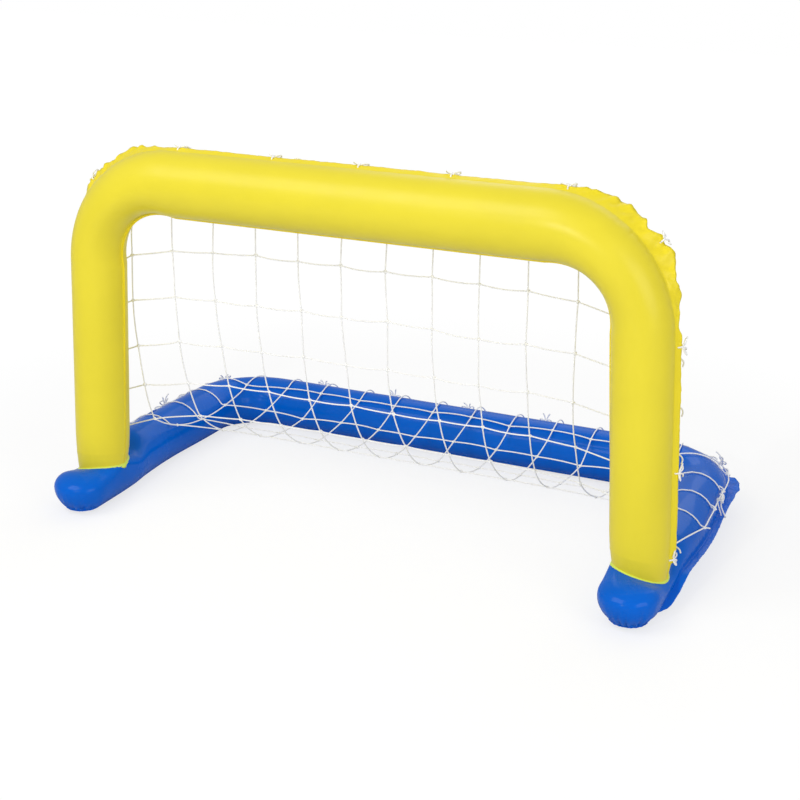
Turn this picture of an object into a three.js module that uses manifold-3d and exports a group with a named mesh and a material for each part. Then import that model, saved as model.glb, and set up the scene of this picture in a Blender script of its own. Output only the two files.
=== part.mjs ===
// Inflatable floating goal: an upright tube of two posts and a crossbar, welded to a
// U-shaped base tube with rounded feet, and a knotted net tied to eyelets in the weld flanges.
// Millimetres, +Z up, +X along the crossbar, +Y from the mouth towards the back of the goal.
// The origin is on the floor, under the middle of the goal's outline.
import * as THREE from 'three';
import { mergeVertices } from 'three/addons/utils/BufferGeometryUtils.js';
import Module from 'manifold-3d';

const wasm = await Module();
wasm.setup();

// Upright frame
const post_spacing = 1176;
const post_lean_angle = THREE.MathUtils.degToRad(2.7);
const bar_height = 696;
const bar_radius = 64;
const post_radius = 56;
const ankle_radius = 50;
const ankle_length = 110;
const ankle_place_shares = [0, 0.7, 1];
const ankle_flange_start_share = 0.2;
const ankle_flange_end_share = 0.7;
const frame_corner_radius = 186;

// Base
const base_tube_radius = 55.5;
const floor_press = 2.5;
const base_depth = 556;
const base_corner_radius = 130;
const foot_reach = 73;
const side_tube_outset = 4.5;
const pressed_length = 62;
const pressed_crest_share = 0.56;
const pressed_roundness_share = 0.67;
const pressed_tilt = 6;
const side_bow = 9;

// Vinyl sheet and its welds
const sheet = 0.3;
const weld_gap = 0.1;
const seat_gap = 0.3;
const flange_width = 14;
const inner_flange_width = 5;
const post_flange_lean_angle = THREE.MathUtils.degToRad(50);
const bar_flange_lean_angle = THREE.MathUtils.degToRad(71);
const ankle_flange_width = 3;
const frame_corner_flange = 38;
const base_corner_flange = 34;
const foot_flange_width = 6;
const frame_ruffle = 6;
const base_ruffle = 4;
const eyelet_radius = 2.6;
const eyelet_inset = 7;
const cut_overrun = 1;

// Net: a lattice of square-knotted cord
const cord_radius = 1.1;
const knot_radius = 1.6;
const net_half_width = 614.5;
const column_count = 14;
const row_count = 12;
const upright_row_count = 6;
const net_standoff = 8.5;
const net_clearance = 1.4;
const laid_edge_start = 205;
const frame_edge_angle = THREE.MathUtils.degToRad(38);
const base_edge_angle = THREE.MathUtils.degToRad(30);
const net_corner_angle = THREE.MathUtils.degToRad(40);
const laid_end_angle = THREE.MathUtils.degToRad(57);
const landing_angle = THREE.MathUtils.degToRad(70);
const fall_reach_share = 0.375;
const fall_height_share = 0.46;
const sag_length_share = 0.815;
const side_pull_share = 0.17;
const knot_turn_share = 0.4;

// Ties, at places along the net's edge: [column, row, how far along the tube the eyelet lies]
const tie_half = 1.1;
const bow_knot_radius = 3;
const bow_length = 16;
const bow_width = 8;
const tail_length = 14;
const loop_shares = [[0, -0.13], [0.8, -0.45], [1, 0.3], [0, 0.13]];
const tail_shares = [[0.09, -0.06, 0], [0.35, 0.4, 0.65]];
const bow_knot_shares = [1.15, 0.75, 1];
const bow_tilt_angle = THREE.MathUtils.degToRad(15);
const eyelet_drop = 30;
const bar_tie_columns = [2.54, 4.74, 6.65, 8.6, 10.86];
const rear_tie_columns = [2.5, 4.5, 6.5, 8.5, 10.5];
const side_tie_rows = [1.66, 4.25, 5.78, 8.5, 10.62];
const corner_tie_columns = [12.76, 0.24];

// Valves
const well_radius = 9;
const well_depth = 6;
const skirt_radius = 14;
const valve_wall = 0.8;
const stem_radius = 5;
const stem_lip = 1.3;
const lip_thickness = 1.2;
const stem_length = 15;
const bore_radius = 3.2;
const plug_clearance = 0.3;
const cap_radius = 6;
const cap_thickness = 1.2;
const plug_length = 9;
const tab_length = 8;
const tab_width = 1.6;
const tab_height = 2.4;
const flap_radius = 4.3;
const flap_thickness = 0.5;
const frame_valve_height = 270;
const base_valve_reach = 254;
const base_valve_angle = THREE.MathUtils.degToRad(54);

// How finely round shapes are faceted
const arc_sides = 8;
const frame_corner_steps = 8;
const base_corner_steps = 8;
const foot_steps = 6;
const round_sides = 10;
const eyelet_sides = 6;

// The base tube's centreline: its underside is pressed flat by the floor
const base_centre_height = base_tube_radius - floor_press;

const yellow = new THREE.MeshStandardMaterial({ color: 0xecde3c, roughness: 0.42 });
const blue = new THREE.MeshStandardMaterial({ color: 0x0055c8, roughness: 0.22 });
const white_cord = new THREE.MeshStandardMaterial({ color: 0xf2f3f4, roughness: 0.8 });
const clear_vinyl = new THREE.MeshStandardMaterial({ color: 0xe8eaec, roughness: 0.35 });

const x_axis = new THREE.Vector3(1, 0, 0);
const y_axis = new THREE.Vector3(0, 1, 0);
const z_axis = new THREE.Vector3(0, 0, 1);

const lerp = THREE.MathUtils.lerp;
const smooth = THREE.MathUtils.smoothstep;

// Adds up shares of directions: combine(origin, [direction, length], ...)
function combine(origin, ...terms) {
  const point = origin.clone();
  for (const [direction, length] of terms) {
    point.addScaledVector(direction, length);
  }
  return point;
}

// Solids and booleans

function geometry_of(points, triangles) {
  const geometry = new THREE.BufferGeometry();
  const places = points.flatMap((point) => point.toArray());
  geometry.setAttribute('position', new THREE.Float32BufferAttribute(places, 3));
  geometry.setIndex(triangles.flat());
  return geometry;
}

function signed_volume(points, triangles) {
  let six_volumes = 0;
  for (const [a, b, c] of triangles) {
    six_volumes += points[a].dot(points[b].clone().cross(points[c]));
  }
  return six_volumes;
}

function closed_geometry(points, triangles) {
  const inside_out = signed_volume(points, triangles) < 0;
  return geometry_of(points, inside_out ? triangles.map(([a, b, c]) => [a, c, b]) : triangles);
}

// A sheet with thickness: two skins with matching points, joined round every free edge
function closed_sheet(outer, inner, faces) {
  const count = outer.length;
  const edges = new Set();
  for (const [a, b, c] of faces) {
    edges.add(`${a},${b}`).add(`${b},${c}`).add(`${c},${a}`);
  }
  const triangles = [...faces];
  for (const [a, b, c] of faces) {
    triangles.push([c + count, b + count, a + count]);
    for (const [from, to] of [[a, b], [b, c], [c, a]]) {
      if (!edges.has(`${to},${from}`)) {
        triangles.push([to, from, from + count], [to, from + count, to + count]);
      }
    }
  }
  return closed_geometry([...outer, ...inner], triangles);
}

function solid_of(geometry) {
  const bare = geometry.clone();
  bare.deleteAttribute('normal');
  bare.deleteAttribute('uv');
  const merged = mergeVertices(bare);
  const vertProperties = new Float32Array(merged.getAttribute('position').array);
  const triVerts = new Uint32Array(merged.getIndex().array);
  return new wasm.Manifold(new wasm.Mesh({ numProp: 3, vertProperties, triVerts }));
}

function geometry_from(solid) {
  const mesh = solid.getMesh();
  const geometry = new THREE.BufferGeometry();
  geometry.setAttribute('position', new THREE.BufferAttribute(new Float32Array(mesh.vertProperties), 3));
  geometry.setIndex(new THREE.BufferAttribute(new Uint32Array(mesh.triVerts), 1));
  return geometry;
}

function joined(geometries) {
  const [first, ...rest] = geometries.map(solid_of);
  return rest.reduce((sum, solid) => sum.add(solid), first);
}

// Places a shape that was made round +Z at the origin
function placed(geometry, origin, axis, side_axis) {
  const z = axis.clone().normalize();
  const x = side_axis.clone().addScaledVector(z, -side_axis.dot(z)).normalize();
  const y = z.clone().cross(x);
  return geometry.clone().applyMatrix4(new THREE.Matrix4().makeBasis(x, y, z).setPosition(origin));
}

// A round shape about +Z from a closed profile of [radius, height] points
function turned(profile, sides = round_sides) {
  const outline = profile.map(([radius, height]) => new THREE.Vector2(radius, height));
  outline.push(outline[0].clone());
  return new THREE.LatheGeometry(outline, sides).rotateX(Math.PI / 2);
}

function rod(radius, from, to, sides = round_sides) {
  return turned([[0, from], [radius, from], [radius, to], [0, to]], sides);
}

// Tube centrelines, as lists of stations from the goal's right side to its left.
// A station knows its section: out points away from the goal's inside, rear to the net's side.
// Its flange leans to the rear by an angle, and its rim is lifted off that slope by the folds.

function station(at, out, rear, half_width, flange, extra = {}) {
  return { at, out, rear, half_width, crest: half_width, flange, lift: 0, lean: 0, pressed: 0, ...extra };
}

// The directions along and across a leaning flange
function flange_way({ out, rear, lean }) {
  return combine(new THREE.Vector3(), [out, Math.cos(lean)], [rear, Math.sin(lean)]);
}

function flange_normal({ out, rear, lean }) {
  return combine(new THREE.Vector3(), [out, -Math.sin(lean)], [rear, Math.cos(lean)]);
}

function mirrored(stations) {
  const flip = new THREE.Vector3(-1, 1, 1);
  return stations.map((s) => ({ ...s, at: s.at.clone().multiply(flip), out: s.out.clone().multiply(flip) }));
}

// The half on the right, up to the middle of the goal, and its mirror image
function both_halves(right) {
  return [...right, ...mirrored(right.slice(0, -1)).reverse()];
}

// Folds of a corner flange, alternately forward and back, with a flat stretch for the eyelet
function ruffle_lift(step, steps, height) {
  const from_middle = Math.abs(step - steps / 2);
  if (from_middle < 2 || step === 0 || step === steps) {
    return 0;
  }
  return (step % 2 ? height : -height) * Math.sin((Math.PI * step) / steps);
}

function corner_flange_width(share, width) {
  return lerp(flange_width, width, Math.sin(Math.PI * share));
}

const corner_centre_height = bar_height - frame_corner_radius;
const post_top_height = corner_centre_height + frame_corner_radius * Math.sin(post_lean_angle);
const post_length = (post_top_height - base_centre_height) / Math.cos(post_lean_angle);
const post_foot_x = post_spacing / 2;
const post_top_x = post_foot_x - post_length * Math.sin(post_lean_angle);
const frame_corner_x = post_top_x - frame_corner_radius * Math.cos(post_lean_angle);

function frame_stations() {
  const right = [];
  const post_out = new THREE.Vector3(Math.cos(post_lean_angle), 0, Math.sin(post_lean_angle));
  const post_up = new THREE.Vector3(-Math.sin(post_lean_angle), 0, Math.cos(post_lean_angle));
  const post_foot = new THREE.Vector3(post_foot_x, 0, base_centre_height);
  for (const share of ankle_place_shares) {
    const radius = post_radius - (post_radius - ankle_radius) * (1 - share) ** 2;
    const widening = smooth(share, ankle_flange_start_share, ankle_flange_end_share);
    const flange = lerp(ankle_flange_width, flange_width, widening);
    const at = combine(post_foot, [post_up, share * ankle_length]);
    right.push(station(at, post_out, y_axis, radius, flange, { lean: post_flange_lean_angle }));
  }
  for (let step = 0; step <= frame_corner_steps; step += 1) {
    const share = step / frame_corner_steps;
    const angle = lerp(post_lean_angle, Math.PI / 2, share);
    const out = new THREE.Vector3(Math.cos(angle), 0, Math.sin(angle));
    const centre = new THREE.Vector3(frame_corner_x, 0, corner_centre_height);
    const radius = lerp(post_radius, bar_radius, smooth(share, 0, 1));
    const flange = corner_flange_width(share, frame_corner_flange);
    const lift = ruffle_lift(step, frame_corner_steps, frame_ruffle);
    const lean = lerp(post_flange_lean_angle, bar_flange_lean_angle, share);
    const at = combine(centre, [out, frame_corner_radius]);
    right.push(station(at, out, y_axis, radius, flange, { lift, lean }));
  }
  const middle = new THREE.Vector3(0, 0, bar_height);
  const bar_lean = { lean: bar_flange_lean_angle };
  right.push(station(middle, z_axis.clone(), y_axis, bar_radius, flange_width, bar_lean));
  return both_halves(right);
}

const side_tube_x = post_foot_x + side_tube_outset;
const base_corner_x = side_tube_x - base_corner_radius;
const base_corner_y = base_depth - base_corner_radius;

// The weight of the posts presses the base down under them and in the feet: from 1 to 0
function pressed_at(y) {
  return 1 - smooth(y, pressed_length, 2 * pressed_length);
}

function base_stations() {
  const right = [];
  const released = 2 * pressed_length;
  const side_spots = [-foot_reach, 0, pressed_length, released, (released + base_corner_y) / 2];
  for (const y of side_spots) {
    const bow = side_bow * Math.sin(Math.PI * smooth(y, 0, base_corner_y));
    const at = new THREE.Vector3(side_tube_x + bow, y, base_centre_height);
    const flange = lerp(foot_flange_width, flange_width, smooth(y, 0, pressed_length));
    const pressed = pressed_at(y);
    const crest = base_tube_radius * lerp(1, pressed_crest_share, pressed);
    right.push(station(at, x_axis, z_axis, base_tube_radius, flange, { crest, pressed }));
  }
  for (let step = 0; step <= base_corner_steps; step += 1) {
    const share = step / base_corner_steps;
    const angle = (Math.PI / 2) * share;
    const out = new THREE.Vector3(Math.cos(angle), Math.sin(angle), 0);
    const centre = new THREE.Vector3(base_corner_x, base_corner_y, base_centre_height);
    const flange = corner_flange_width(share, base_corner_flange);
    const lift = ruffle_lift(step, base_corner_steps, base_ruffle);
    const at = combine(centre, [out, base_corner_radius]);
    right.push(station(at, out, z_axis, base_tube_radius, flange, { lift }));
  }
  const middle = new THREE.Vector3(0, base_depth, base_centre_height);
  right.push(station(middle, y_axis, z_axis, base_tube_radius, flange_width));
  return both_halves(right);
}

const frame = frame_stations();
const base = base_stations();

// Vinyl panels. Each is half of a tube's skin with its half of the weld flanges.

// Angles round the half tube. On a lower panel they meet the edges of the flat that rests on the floor.
function arc_angles(flattened) {
  const quarter = arc_sides / 2;
  const flat_angle = Math.asin(Math.min(1, base_centre_height / base_tube_radius));
  const angles = [];
  for (let side = 1; side < arc_sides; side += 1) {
    const rise = side < quarter ? side : arc_sides - side;
    const last = flattened ? flat_angle / (quarter - 1) : Math.PI / arc_sides;
    const angle = side === quarter ? Math.PI / 2 : rise * last;
    angles.push(side <= quarter ? angle : Math.PI - angle);
  }
  return angles;
}

// Where the skin of the tube meets the skin of its flange: a bend in a sheet of some thickness,
// which starts at the seam between the two sheets
function weld_corner(seam, flange_direction, skin_point, thickness) {
  const to_skin = skin_point.clone().sub(seam).normalize();
  const between_legs = flange_direction.clone().add(to_skin).normalize();
  return combine(seam, [between_legs, thickness / Math.sin(flange_direction.angleTo(to_skin) / 2)]);
}

// One skin of a section: thin is how far it lies inside the outer skin, grow how far outside
function section(s, sign, angles, thin, grow) {
  const up = s.rear.clone().multiplyScalar(sign);
  const thickness = sheet - thin + grow;
  const width = s.half_width - thin + grow;
  const crest = (sign > 0 ? s.crest : s.half_width) - thin + grow;
  const skin = [];
  const roundness = sign > 0 ? lerp(1, pressed_roundness_share, s.pressed) : 1;
  const squared = (value) => Math.sign(value) * Math.abs(value) ** roundness;
  for (const angle of angles) {
    const [across, rise] = [squared(Math.cos(angle)), squared(Math.sin(angle))];
    const tilt = sign > 0 ? -across * rise * s.pressed * pressed_tilt : 0;
    skin.push(combine(s.at, [s.out, width * across], [up, crest * rise + tilt]));
  }
  const [way, normal, inward] = [flange_way(s), flange_normal(s), s.out.clone().negate()];
  const weld = combine(s.at, [s.out, s.half_width]);
  const seam = combine(weld, [normal, sign * weld_gap / 2]);
  const rim = combine(weld, [way, s.flange + grow], [normal, s.lift + sign * (weld_gap / 2 + thickness)]);
  const inner_seam = combine(s.at, [inward, s.half_width], [up, weld_gap / 2]);
  return [
    rim,
    weld_corner(seam, way, skin[0], thickness),
    ...skin,
    weld_corner(inner_seam, inward, skin[skin.length - 1], thickness),
    combine(inner_seam, [inward, inner_flange_width + grow], [up, thickness]),
  ];
}

// A rounded end: the outer half of the end section swept round to its inner half
function end_section(s, sign, angles, thin, grow, turn) {
  const forward = s.rear.clone().cross(s.out);
  const direction = combine(new THREE.Vector3(), [s.out, Math.cos(turn)], [forward, -Math.sin(turn)]);
  const share = Math.abs(turn) / Math.PI;
  const flange = lerp(s.flange, inner_flange_width, share);
  const half = section({ ...s, out: direction, flange }, sign, angles, thin, grow);
  return half.slice(0, 2 + arc_sides / 2 - 1);
}

function panel(stations, sign, options = {}) {
  const { rounded_ends = false, floor = -Infinity, grow = 0, solid_depth = null } = options;
  const angles = arc_angles(floor === 0);
  const outer = [];
  const inner = [];
  const above = (point, height) => point.setZ(Math.max(point.z, height));
  const level = stations[0].at.dot(stations[0].rear) - solid_depth;
  const dropped = (point) => combine(point, [stations[0].rear, level - point.dot(stations[0].rear)]);
  const add = (s, build) => {
    const first = outer.length;
    const skin = build(s, 0).map((point) => above(point, floor));
    const lining = build(s, sheet).map((point) => above(point, floor + sheet));
    outer.push(...skin);
    inner.push(...(solid_depth === null ? lining : skin.map(dropped)));
    return Array.from(skin, (_, index) => first + index);
  };
  const rows = stations.map((s) => add(s, (t, thin) => section(t, sign, angles, thin, grow)));
  const faces = [];
  const join = (row, next) => {
    for (let k = 0; k + 1 < row.length; k += 1) {
      const quad = [[row[k], row[k + 1], next[k + 1]], [row[k], next[k + 1], next[k]]];
      faces.push(...quad.filter(([a, b, c]) => a !== b && b !== c && c !== a));
    }
  };
  rows.slice(1).forEach((next, index) => join(rows[index], next));
  if (rounded_ends) {
    const crest = 1 + arc_sides / 2;
    for (const end of [0, rows.length - 1]) {
      const row = rows[end];
      const fans = [row.slice(0, crest + 1)];
      for (let step = 1; step < foot_steps; step += 1) {
        const turn = (Math.PI * step) / foot_steps;
        const facing = end ? -turn : turn;
        const half = add(stations[end], (t, thin) => end_section(t, sign, angles, thin, grow, facing));
        fans.push([...half, row[crest]]);
      }
      fans.push(row.slice(crest).reverse());
      fans.slice(1).forEach((next, index) => (end ? join(fans[index], next) : join(next, fans[index])));
    }
  }
  return closed_sheet(outer, inner, faces);
}

// Finding a place on a tube

function between(s, t, share) {
  const mix = (a, b) => a.clone().lerp(b, share);
  return {
    at: mix(s.at, t.at),
    out: mix(s.out, t.out).normalize(),
    rear: s.rear,
    along: t.at.clone().sub(s.at).normalize(),
    half_width: lerp(s.half_width, t.half_width, share),
    crest: lerp(s.crest, t.crest, share),
    flange: lerp(s.flange, t.flange, share),
    lift: lerp(s.lift, t.lift, share),
    lean: lerp(s.lean, t.lean, share),
  };
}

function nearest_on(stations, point) {
  let best = null;
  for (let index = 0; index + 1 < stations.length; index += 1) {
    const [s, t] = [stations[index], stations[index + 1]];
    const line = new THREE.Line3(s.at, t.at);
    const share = line.closestPointToPointParameter(point, true);
    const distance = line.at(share, new THREE.Vector3()).distanceTo(point);
    if (!best || distance < best.distance) {
      best = { distance, share, s, t };
    }
  }
  return { ...between(best.s, best.t, best.share), distance: best.distance };
}

// The tube that a point is nearer to than a clearance from its skin, if any
function tube_within(point, clearance) {
  const near = [nearest_on(frame, point), nearest_on(base, point)];
  return near.find((place) => place.distance < place.half_width + clearance);
}

// Moves a point out of both tubes, to a clearance from their skins
function pushed_out(point, clearance) {
  let moved = point;
  for (const stations of [frame, base]) {
    const near = nearest_on(stations, moved);
    if (near.distance < near.half_width + clearance) {
      const away = moved.clone().sub(near.at).normalize();
      moved = combine(near.at, [away, near.half_width + clearance]);
    }
  }
  return moved;
}

// Net

const strand_reach = cord_radius * Math.SQRT2;
const knot_reach = knot_radius * Math.SQRT2;

// A line of points that can be read by the share of its length
function route(points) {
  const reach = [0];
  for (let index = 1; index < points.length; index += 1) {
    reach.push(reach[index - 1] + points[index].distanceTo(points[index - 1]));
  }
  const length = reach[reach.length - 1];
  return (share) => {
    const wanted = share * length;
    const found = reach.findIndex((value, index) => index > 0 && value >= wanted - length * 1e-9);
    const next = found < 0 ? points.length - 1 : found;
    const local = (wanted - reach[next - 1]) / (reach[next] - reach[next - 1]);
    return points[next - 1].clone().lerp(points[next], local);
  };
}

function beside(s, angle, standoff) {
  const distance = s.half_width + standoff;
  return combine(s.at, [s.out, distance * Math.cos(angle)], [s.rear, distance * Math.sin(angle)]);
}

// The middle of the net: over the crossbar's rear, hanging free, then up over the back tube
function middle_route() {
  const points = [];
  const route_steps = 12;
  const seat = strand_reach + net_clearance;
  const wrap = (centre_y, centre_z, from, to) => {
    for (let step = 0; step <= route_steps; step += 1) {
      const angle = lerp(from.angle, to.angle, step / route_steps);
      const distance = lerp(from.distance, to.distance, step / route_steps);
      const reach = distance * Math.cos(angle);
      points.push(new THREE.Vector3(0, centre_y + reach, centre_z + distance * Math.sin(angle)));
    }
  };
  const bar_seat = bar_radius + seat;
  const bar_start = { angle: Math.PI / 2 - frame_edge_angle, distance: bar_radius + net_standoff };
  wrap(0, bar_height, bar_start, { angle: 0, distance: bar_seat });
  const tube_seat = base_tube_radius + seat;
  const landing = new THREE.Vector3(
    0,
    base_depth - tube_seat * Math.cos(landing_angle),
    base_centre_height + tube_seat * Math.sin(landing_angle),
  );
  const rising = new THREE.Vector3(0, Math.sin(landing_angle), Math.cos(landing_angle));
  const hang = new THREE.CubicBezierCurve3(
    points.pop(),
    new THREE.Vector3(0, fall_reach_share * bar_radius, fall_height_share * bar_height),
    combine(landing, [rising, -sag_length_share * base_depth]),
    landing,
  );
  points.push(...hang.getPoints(4 * route_steps));
  points.pop();
  const rear_end = { angle: base_edge_angle, distance: base_tube_radius + net_standoff };
  wrap(base_depth, base_centre_height, { angle: Math.PI - landing_angle, distance: tube_seat }, rear_end);
  return route(points);
}

// The net's side edge, in two runs: down behind the post and back along the side tube
function side_routes() {
  const right_side = (stations) => stations.slice(0, Math.floor(stations.length / 2));
  const upright = right_side(frame).reverse().filter((s) => {
    return Math.atan2(s.out.z, s.out.x) <= net_corner_angle && s.at.z > 2 * base_centre_height;
  });
  const start = new THREE.Vector3(side_tube_x, laid_edge_start, base_centre_height);
  const laid = right_side(base).filter((s) => {
    return s.at.y > laid_edge_start && Math.atan2(s.out.y, s.out.x) <= laid_end_angle;
  });
  laid.unshift(nearest_on(base, start));
  return [
    route(upright.map((s) => beside(s, frame_edge_angle, net_standoff))),
    route(laid.map((s) => beside(s, base_edge_angle, net_standoff))),
  ];
}

const middle_at = middle_route();
const [upright_at, laid_at] = side_routes();
const last_row = row_count - 1;
const last_column = column_count - 1;

// The side edge at a row, which may lie between two knots
function side_at(row) {
  const last_laid = last_row - upright_row_count - 1;
  if (row <= upright_row_count) {
    return upright_at(row / upright_row_count);
  }
  if (row >= upright_row_count + 1) {
    return laid_at((row - upright_row_count - 1) / last_laid);
  }
  return upright_at(1).lerp(laid_at(0), row - upright_row_count);
}

// A place on the net by column and row: the middle's shape, drawn to the side edge near the sides
function net_place(column, row, clearance) {
  const across = (2 * column) / last_column - 1;
  const pull = Math.abs(across) ** (1 / side_pull_share);
  const edge = side_at(row);
  const point = middle_at(row / last_row).lerp(edge, pull);
  point.x = across * lerp(net_half_width, edge.x, pull);
  if (row === 0) {
    return beside(nearest_on(frame, point), frame_edge_angle, net_standoff);
  }
  if (row === last_row) {
    return beside(nearest_on(base, point), base_edge_angle, net_standoff);
  }
  return pushed_out(point, clearance);
}

// The points that lead a strand on to its next point without cutting through a tube
function led_over(from, to) {
  const middle = from.clone().lerp(to, 0.5);
  if (!tube_within(middle, strand_reach + weld_gap)) {
    return [to];
  }
  const raised = pushed_out(middle, strand_reach + net_clearance);
  return [...led_over(from, raised), ...led_over(raised, to)];
}

// The points along a strand between two knots
function strand_points(from, to) {
  const place = (share, reach) =>
    net_place(lerp(from[0], to[0], share), lerp(from[1], to[1], share), reach + net_clearance);
  const start = place(0, knot_reach);
  const middle = place(0.5, strand_reach);
  return [start, ...led_over(start, middle), ...led_over(middle, place(1, knot_reach))];
}

// A knotted net as one body: square knots joined by square strands that share their corner points
function net_geometry() {
  const points = [];
  const triangles = [];
  const square = (centre, first, second, radius) => {
    const start = points.length;
    for (const [u, v] of [[1, 1], [-1, 1], [-1, -1], [1, -1]]) {
      points.push(combine(centre, [first, u * radius], [second, v * radius]));
    }
    return [0, 1, 2, 3].map((corner) => start + corner);
  };
  const quad = (a, b, c, d) => triangles.push([a, b, c], [a, c, d]);
  const direction = (a, b) => b.clone().sub(a).normalize();
  const knots = [];
  for (let row = 0; row <= last_row; row += 1) {
    knots.push([]);
    for (let column = 0; column <= last_column; column += 1) {
      const place = (c, r) => net_place(c, r, knot_reach + net_clearance);
      const left = place(Math.max(column - knot_turn_share, 0), row);
      const right = place(Math.min(column + knot_turn_share, last_column), row);
      const above = place(column, Math.max(row - knot_turn_share, 0));
      const below = place(column, Math.min(row + knot_turn_share, last_row));
      const across = direction(left, right);
      const down_raw = direction(above, below);
      const normal = across.clone().cross(down_raw).normalize();
      const down = normal.clone().cross(across);
      const centre = place(column, row);
      const near = square(combine(centre, [normal, knot_radius]), across, down, knot_radius);
      const far = square(combine(centre, [normal, -knot_radius]), across, down, knot_radius);
      quad(near[0], near[1], near[2], near[3]);
      quad(far[3], far[2], far[1], far[0]);
      knots[row].push({ near, far, normal });
    }
  }
  // Corners of a knot's side faces, in the order that faces outwards
  const sides = { right: [0, 3], left: [2, 1], down: [1, 0], up: [3, 2] };
  const corners = ({ near, far }, [a, b]) => [near[a], near[b], far[b], far[a]];
  const cap = (knot, side) => quad(...corners(knot, side));
  const strand = (from, to, start_side, end_side) => {
    const line = strand_points(from, to);
    const knot_from = knots[from[1]][from[0]];
    const knot_to = knots[to[1]][to[0]];
    const tube = (ring, next) => ring.forEach((corner, k) => {
      const after = (k + 1) % 4;
      quad(corner, ring[after], next[after], next[k]);
    });
    let ring = corners(knot_from, start_side);
    for (let index = 1; index + 1 < line.length; index += 1) {
      const along = direction(line[index - 1], line[index + 1]);
      const normal = knot_from.normal.clone().lerp(knot_to.normal, index / (line.length - 1));
      normal.addScaledVector(along, -normal.dot(along)).normalize();
      const next = square(line[index], normal, normal.clone().cross(along), cord_radius);
      const ordered = [next[0], next[3], next[2], next[1]];
      tube(ring, ordered);
      ring = ordered;
    }
    tube(ring, corners(knot_to, [end_side[1], end_side[0]]));
  };
  for (let row = 0; row <= last_row; row += 1) {
    for (let column = 0; column <= last_column; column += 1) {
      const knot = knots[row][column];
      if (column < last_column) {
        strand([column, row], [column + 1, row], sides.right, sides.left);
      } else {
        cap(knot, sides.right);
      }
      if (row < last_row) {
        strand([column, row], [column, row + 1], sides.down, sides.up);
      } else {
        cap(knot, sides.down);
      }
      if (column === 0) {
        cap(knot, sides.left);
      }
      if (row === 0) {
        cap(knot, sides.up);
      }
    }
  }
  return closed_geometry(points, triangles);
}

// Eyelets and ties

// Where a tie goes: the net's edge strand, and an eyelet in the weld flange beside it
function tie_place(stations, column, row, shift = 0) {
  const knot_before = [Math.floor(column), Math.floor(row)];
  const knot_after = [Math.ceil(column), Math.ceil(row)];
  const share = column - knot_before[0] + row - knot_before[1];
  const strand_at = route(strand_points(knot_before, knot_after));
  const net = strand_at(share);
  const strand_along = strand_at(share / 2).sub(net).normalize();
  const strand_half = lerp(cord_radius, knot_radius, Math.abs(2 * share - 1));
  const beside_net = nearest_on(stations, net);
  const s = nearest_on(stations, combine(beside_net.at, [beside_net.along, shift]));
  const [way, normal] = [flange_way(s), flange_normal(s)];
  const rim = combine(s.at, [s.out, s.half_width], [way, s.flange], [normal, s.lift]);
  const eyelet = combine(rim, [way, -eyelet_inset]);
  return { ...s, stations, way, normal, net, strand_along, strand_half, rim, eyelet };
}

function tie_places() {
  const places = bar_tie_columns.map((column) => tie_place(frame, column, 0));
  const [high, middle, low, side, rear_corner] = side_tie_rows;
  for (const right of [true, false]) {
    const column = right ? last_column : 0;
    places.push(tie_place(frame, corner_tie_columns[right ? 0 : 1], 0));
    places.push(tie_place(frame, column, high), tie_place(frame, column, middle));
    places.push(tie_place(frame, column, low, right ? -eyelet_drop : eyelet_drop));
    places.push(tie_place(base, column, side), tie_place(base, column, rear_corner));
  }
  return [...places, ...rear_tie_columns.map((column) => tie_place(base, column, last_row))];
}

// Cord of square section along a line of points, its sides kept square to a given direction
function cord_geometry(line, side, half, closed = false) {
  const points = [];
  const triangles = [];
  const count = line.length;
  const direction = (a, b) => b.clone().sub(a).normalize();
  line.forEach((point, index) => {
    const before = closed || index > 0 ? direction(line[(index + count - 1) % count], point) : null;
    const after = closed || index < count - 1 ? direction(point, line[(index + 1) % count]) : null;
    const along = (before || after).clone().add(after || before).normalize();
    const across = side.clone().addScaledVector(along, -side.dot(along)).normalize();
    const up = along.clone().cross(across);
    const mitre = 1 / along.dot(after || before);
    for (const [u, v] of [[1, 1], [-1, 1], [-1, -1], [1, -1]]) {
      points.push(combine(point, [across, u * half], [up, v * half * mitre]));
    }
  });
  const spans = closed ? count : count - 1;
  for (let index = 0; index < spans; index += 1) {
    const [from, to] = [4 * index, 4 * ((index + 1) % count)];
    for (let k = 0; k < 4; k += 1) {
      const after = (k + 1) % 4;
      triangles.push([from + k, from + after, to + after], [from + k, to + after, to + k]);
    }
  }
  if (!closed) {
    const end = 4 * spans;
    triangles.push([2, 1, 0], [3, 2, 0], [end, end + 1, end + 2], [end, end + 2, end + 3]);
  }
  return closed_geometry(points, triangles);
}

// A knot with two loops and two tails, in the directions side, face and hang
function bow(knot, side, face, hang) {
  const block = new THREE.BoxGeometry(...bow_knot_shares.map((share) => 2 * share * bow_knot_radius));
  block.applyMatrix4(new THREE.Matrix4().makeBasis(side, face, side.clone().cross(face)).setPosition(knot));
  const pieces = [block];
  for (const way of [1, -1]) {
    const loop_out = side.clone().multiplyScalar(way * Math.cos(bow_tilt_angle));
    loop_out.addScaledVector(face, Math.sin(bow_tilt_angle));
    const loop_line = loop_shares.map(([x, y]) => {
      return combine(knot, [loop_out, x * bow_length], [hang, y * bow_width]);
    });
    pieces.push(cord_geometry(loop_line, loop_out.clone().cross(hang), tie_half));
    const tail_side = side.clone().multiplyScalar(way);
    const tail_line = tail_shares.map(([x, y, z]) => {
      return combine(knot, [tail_side, x * tail_length], [hang, y * tail_length], [face, z * tail_length]);
    });
    pieces.push(cord_geometry(tail_line, face, tie_half));
  }
  return pieces;
}

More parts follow.
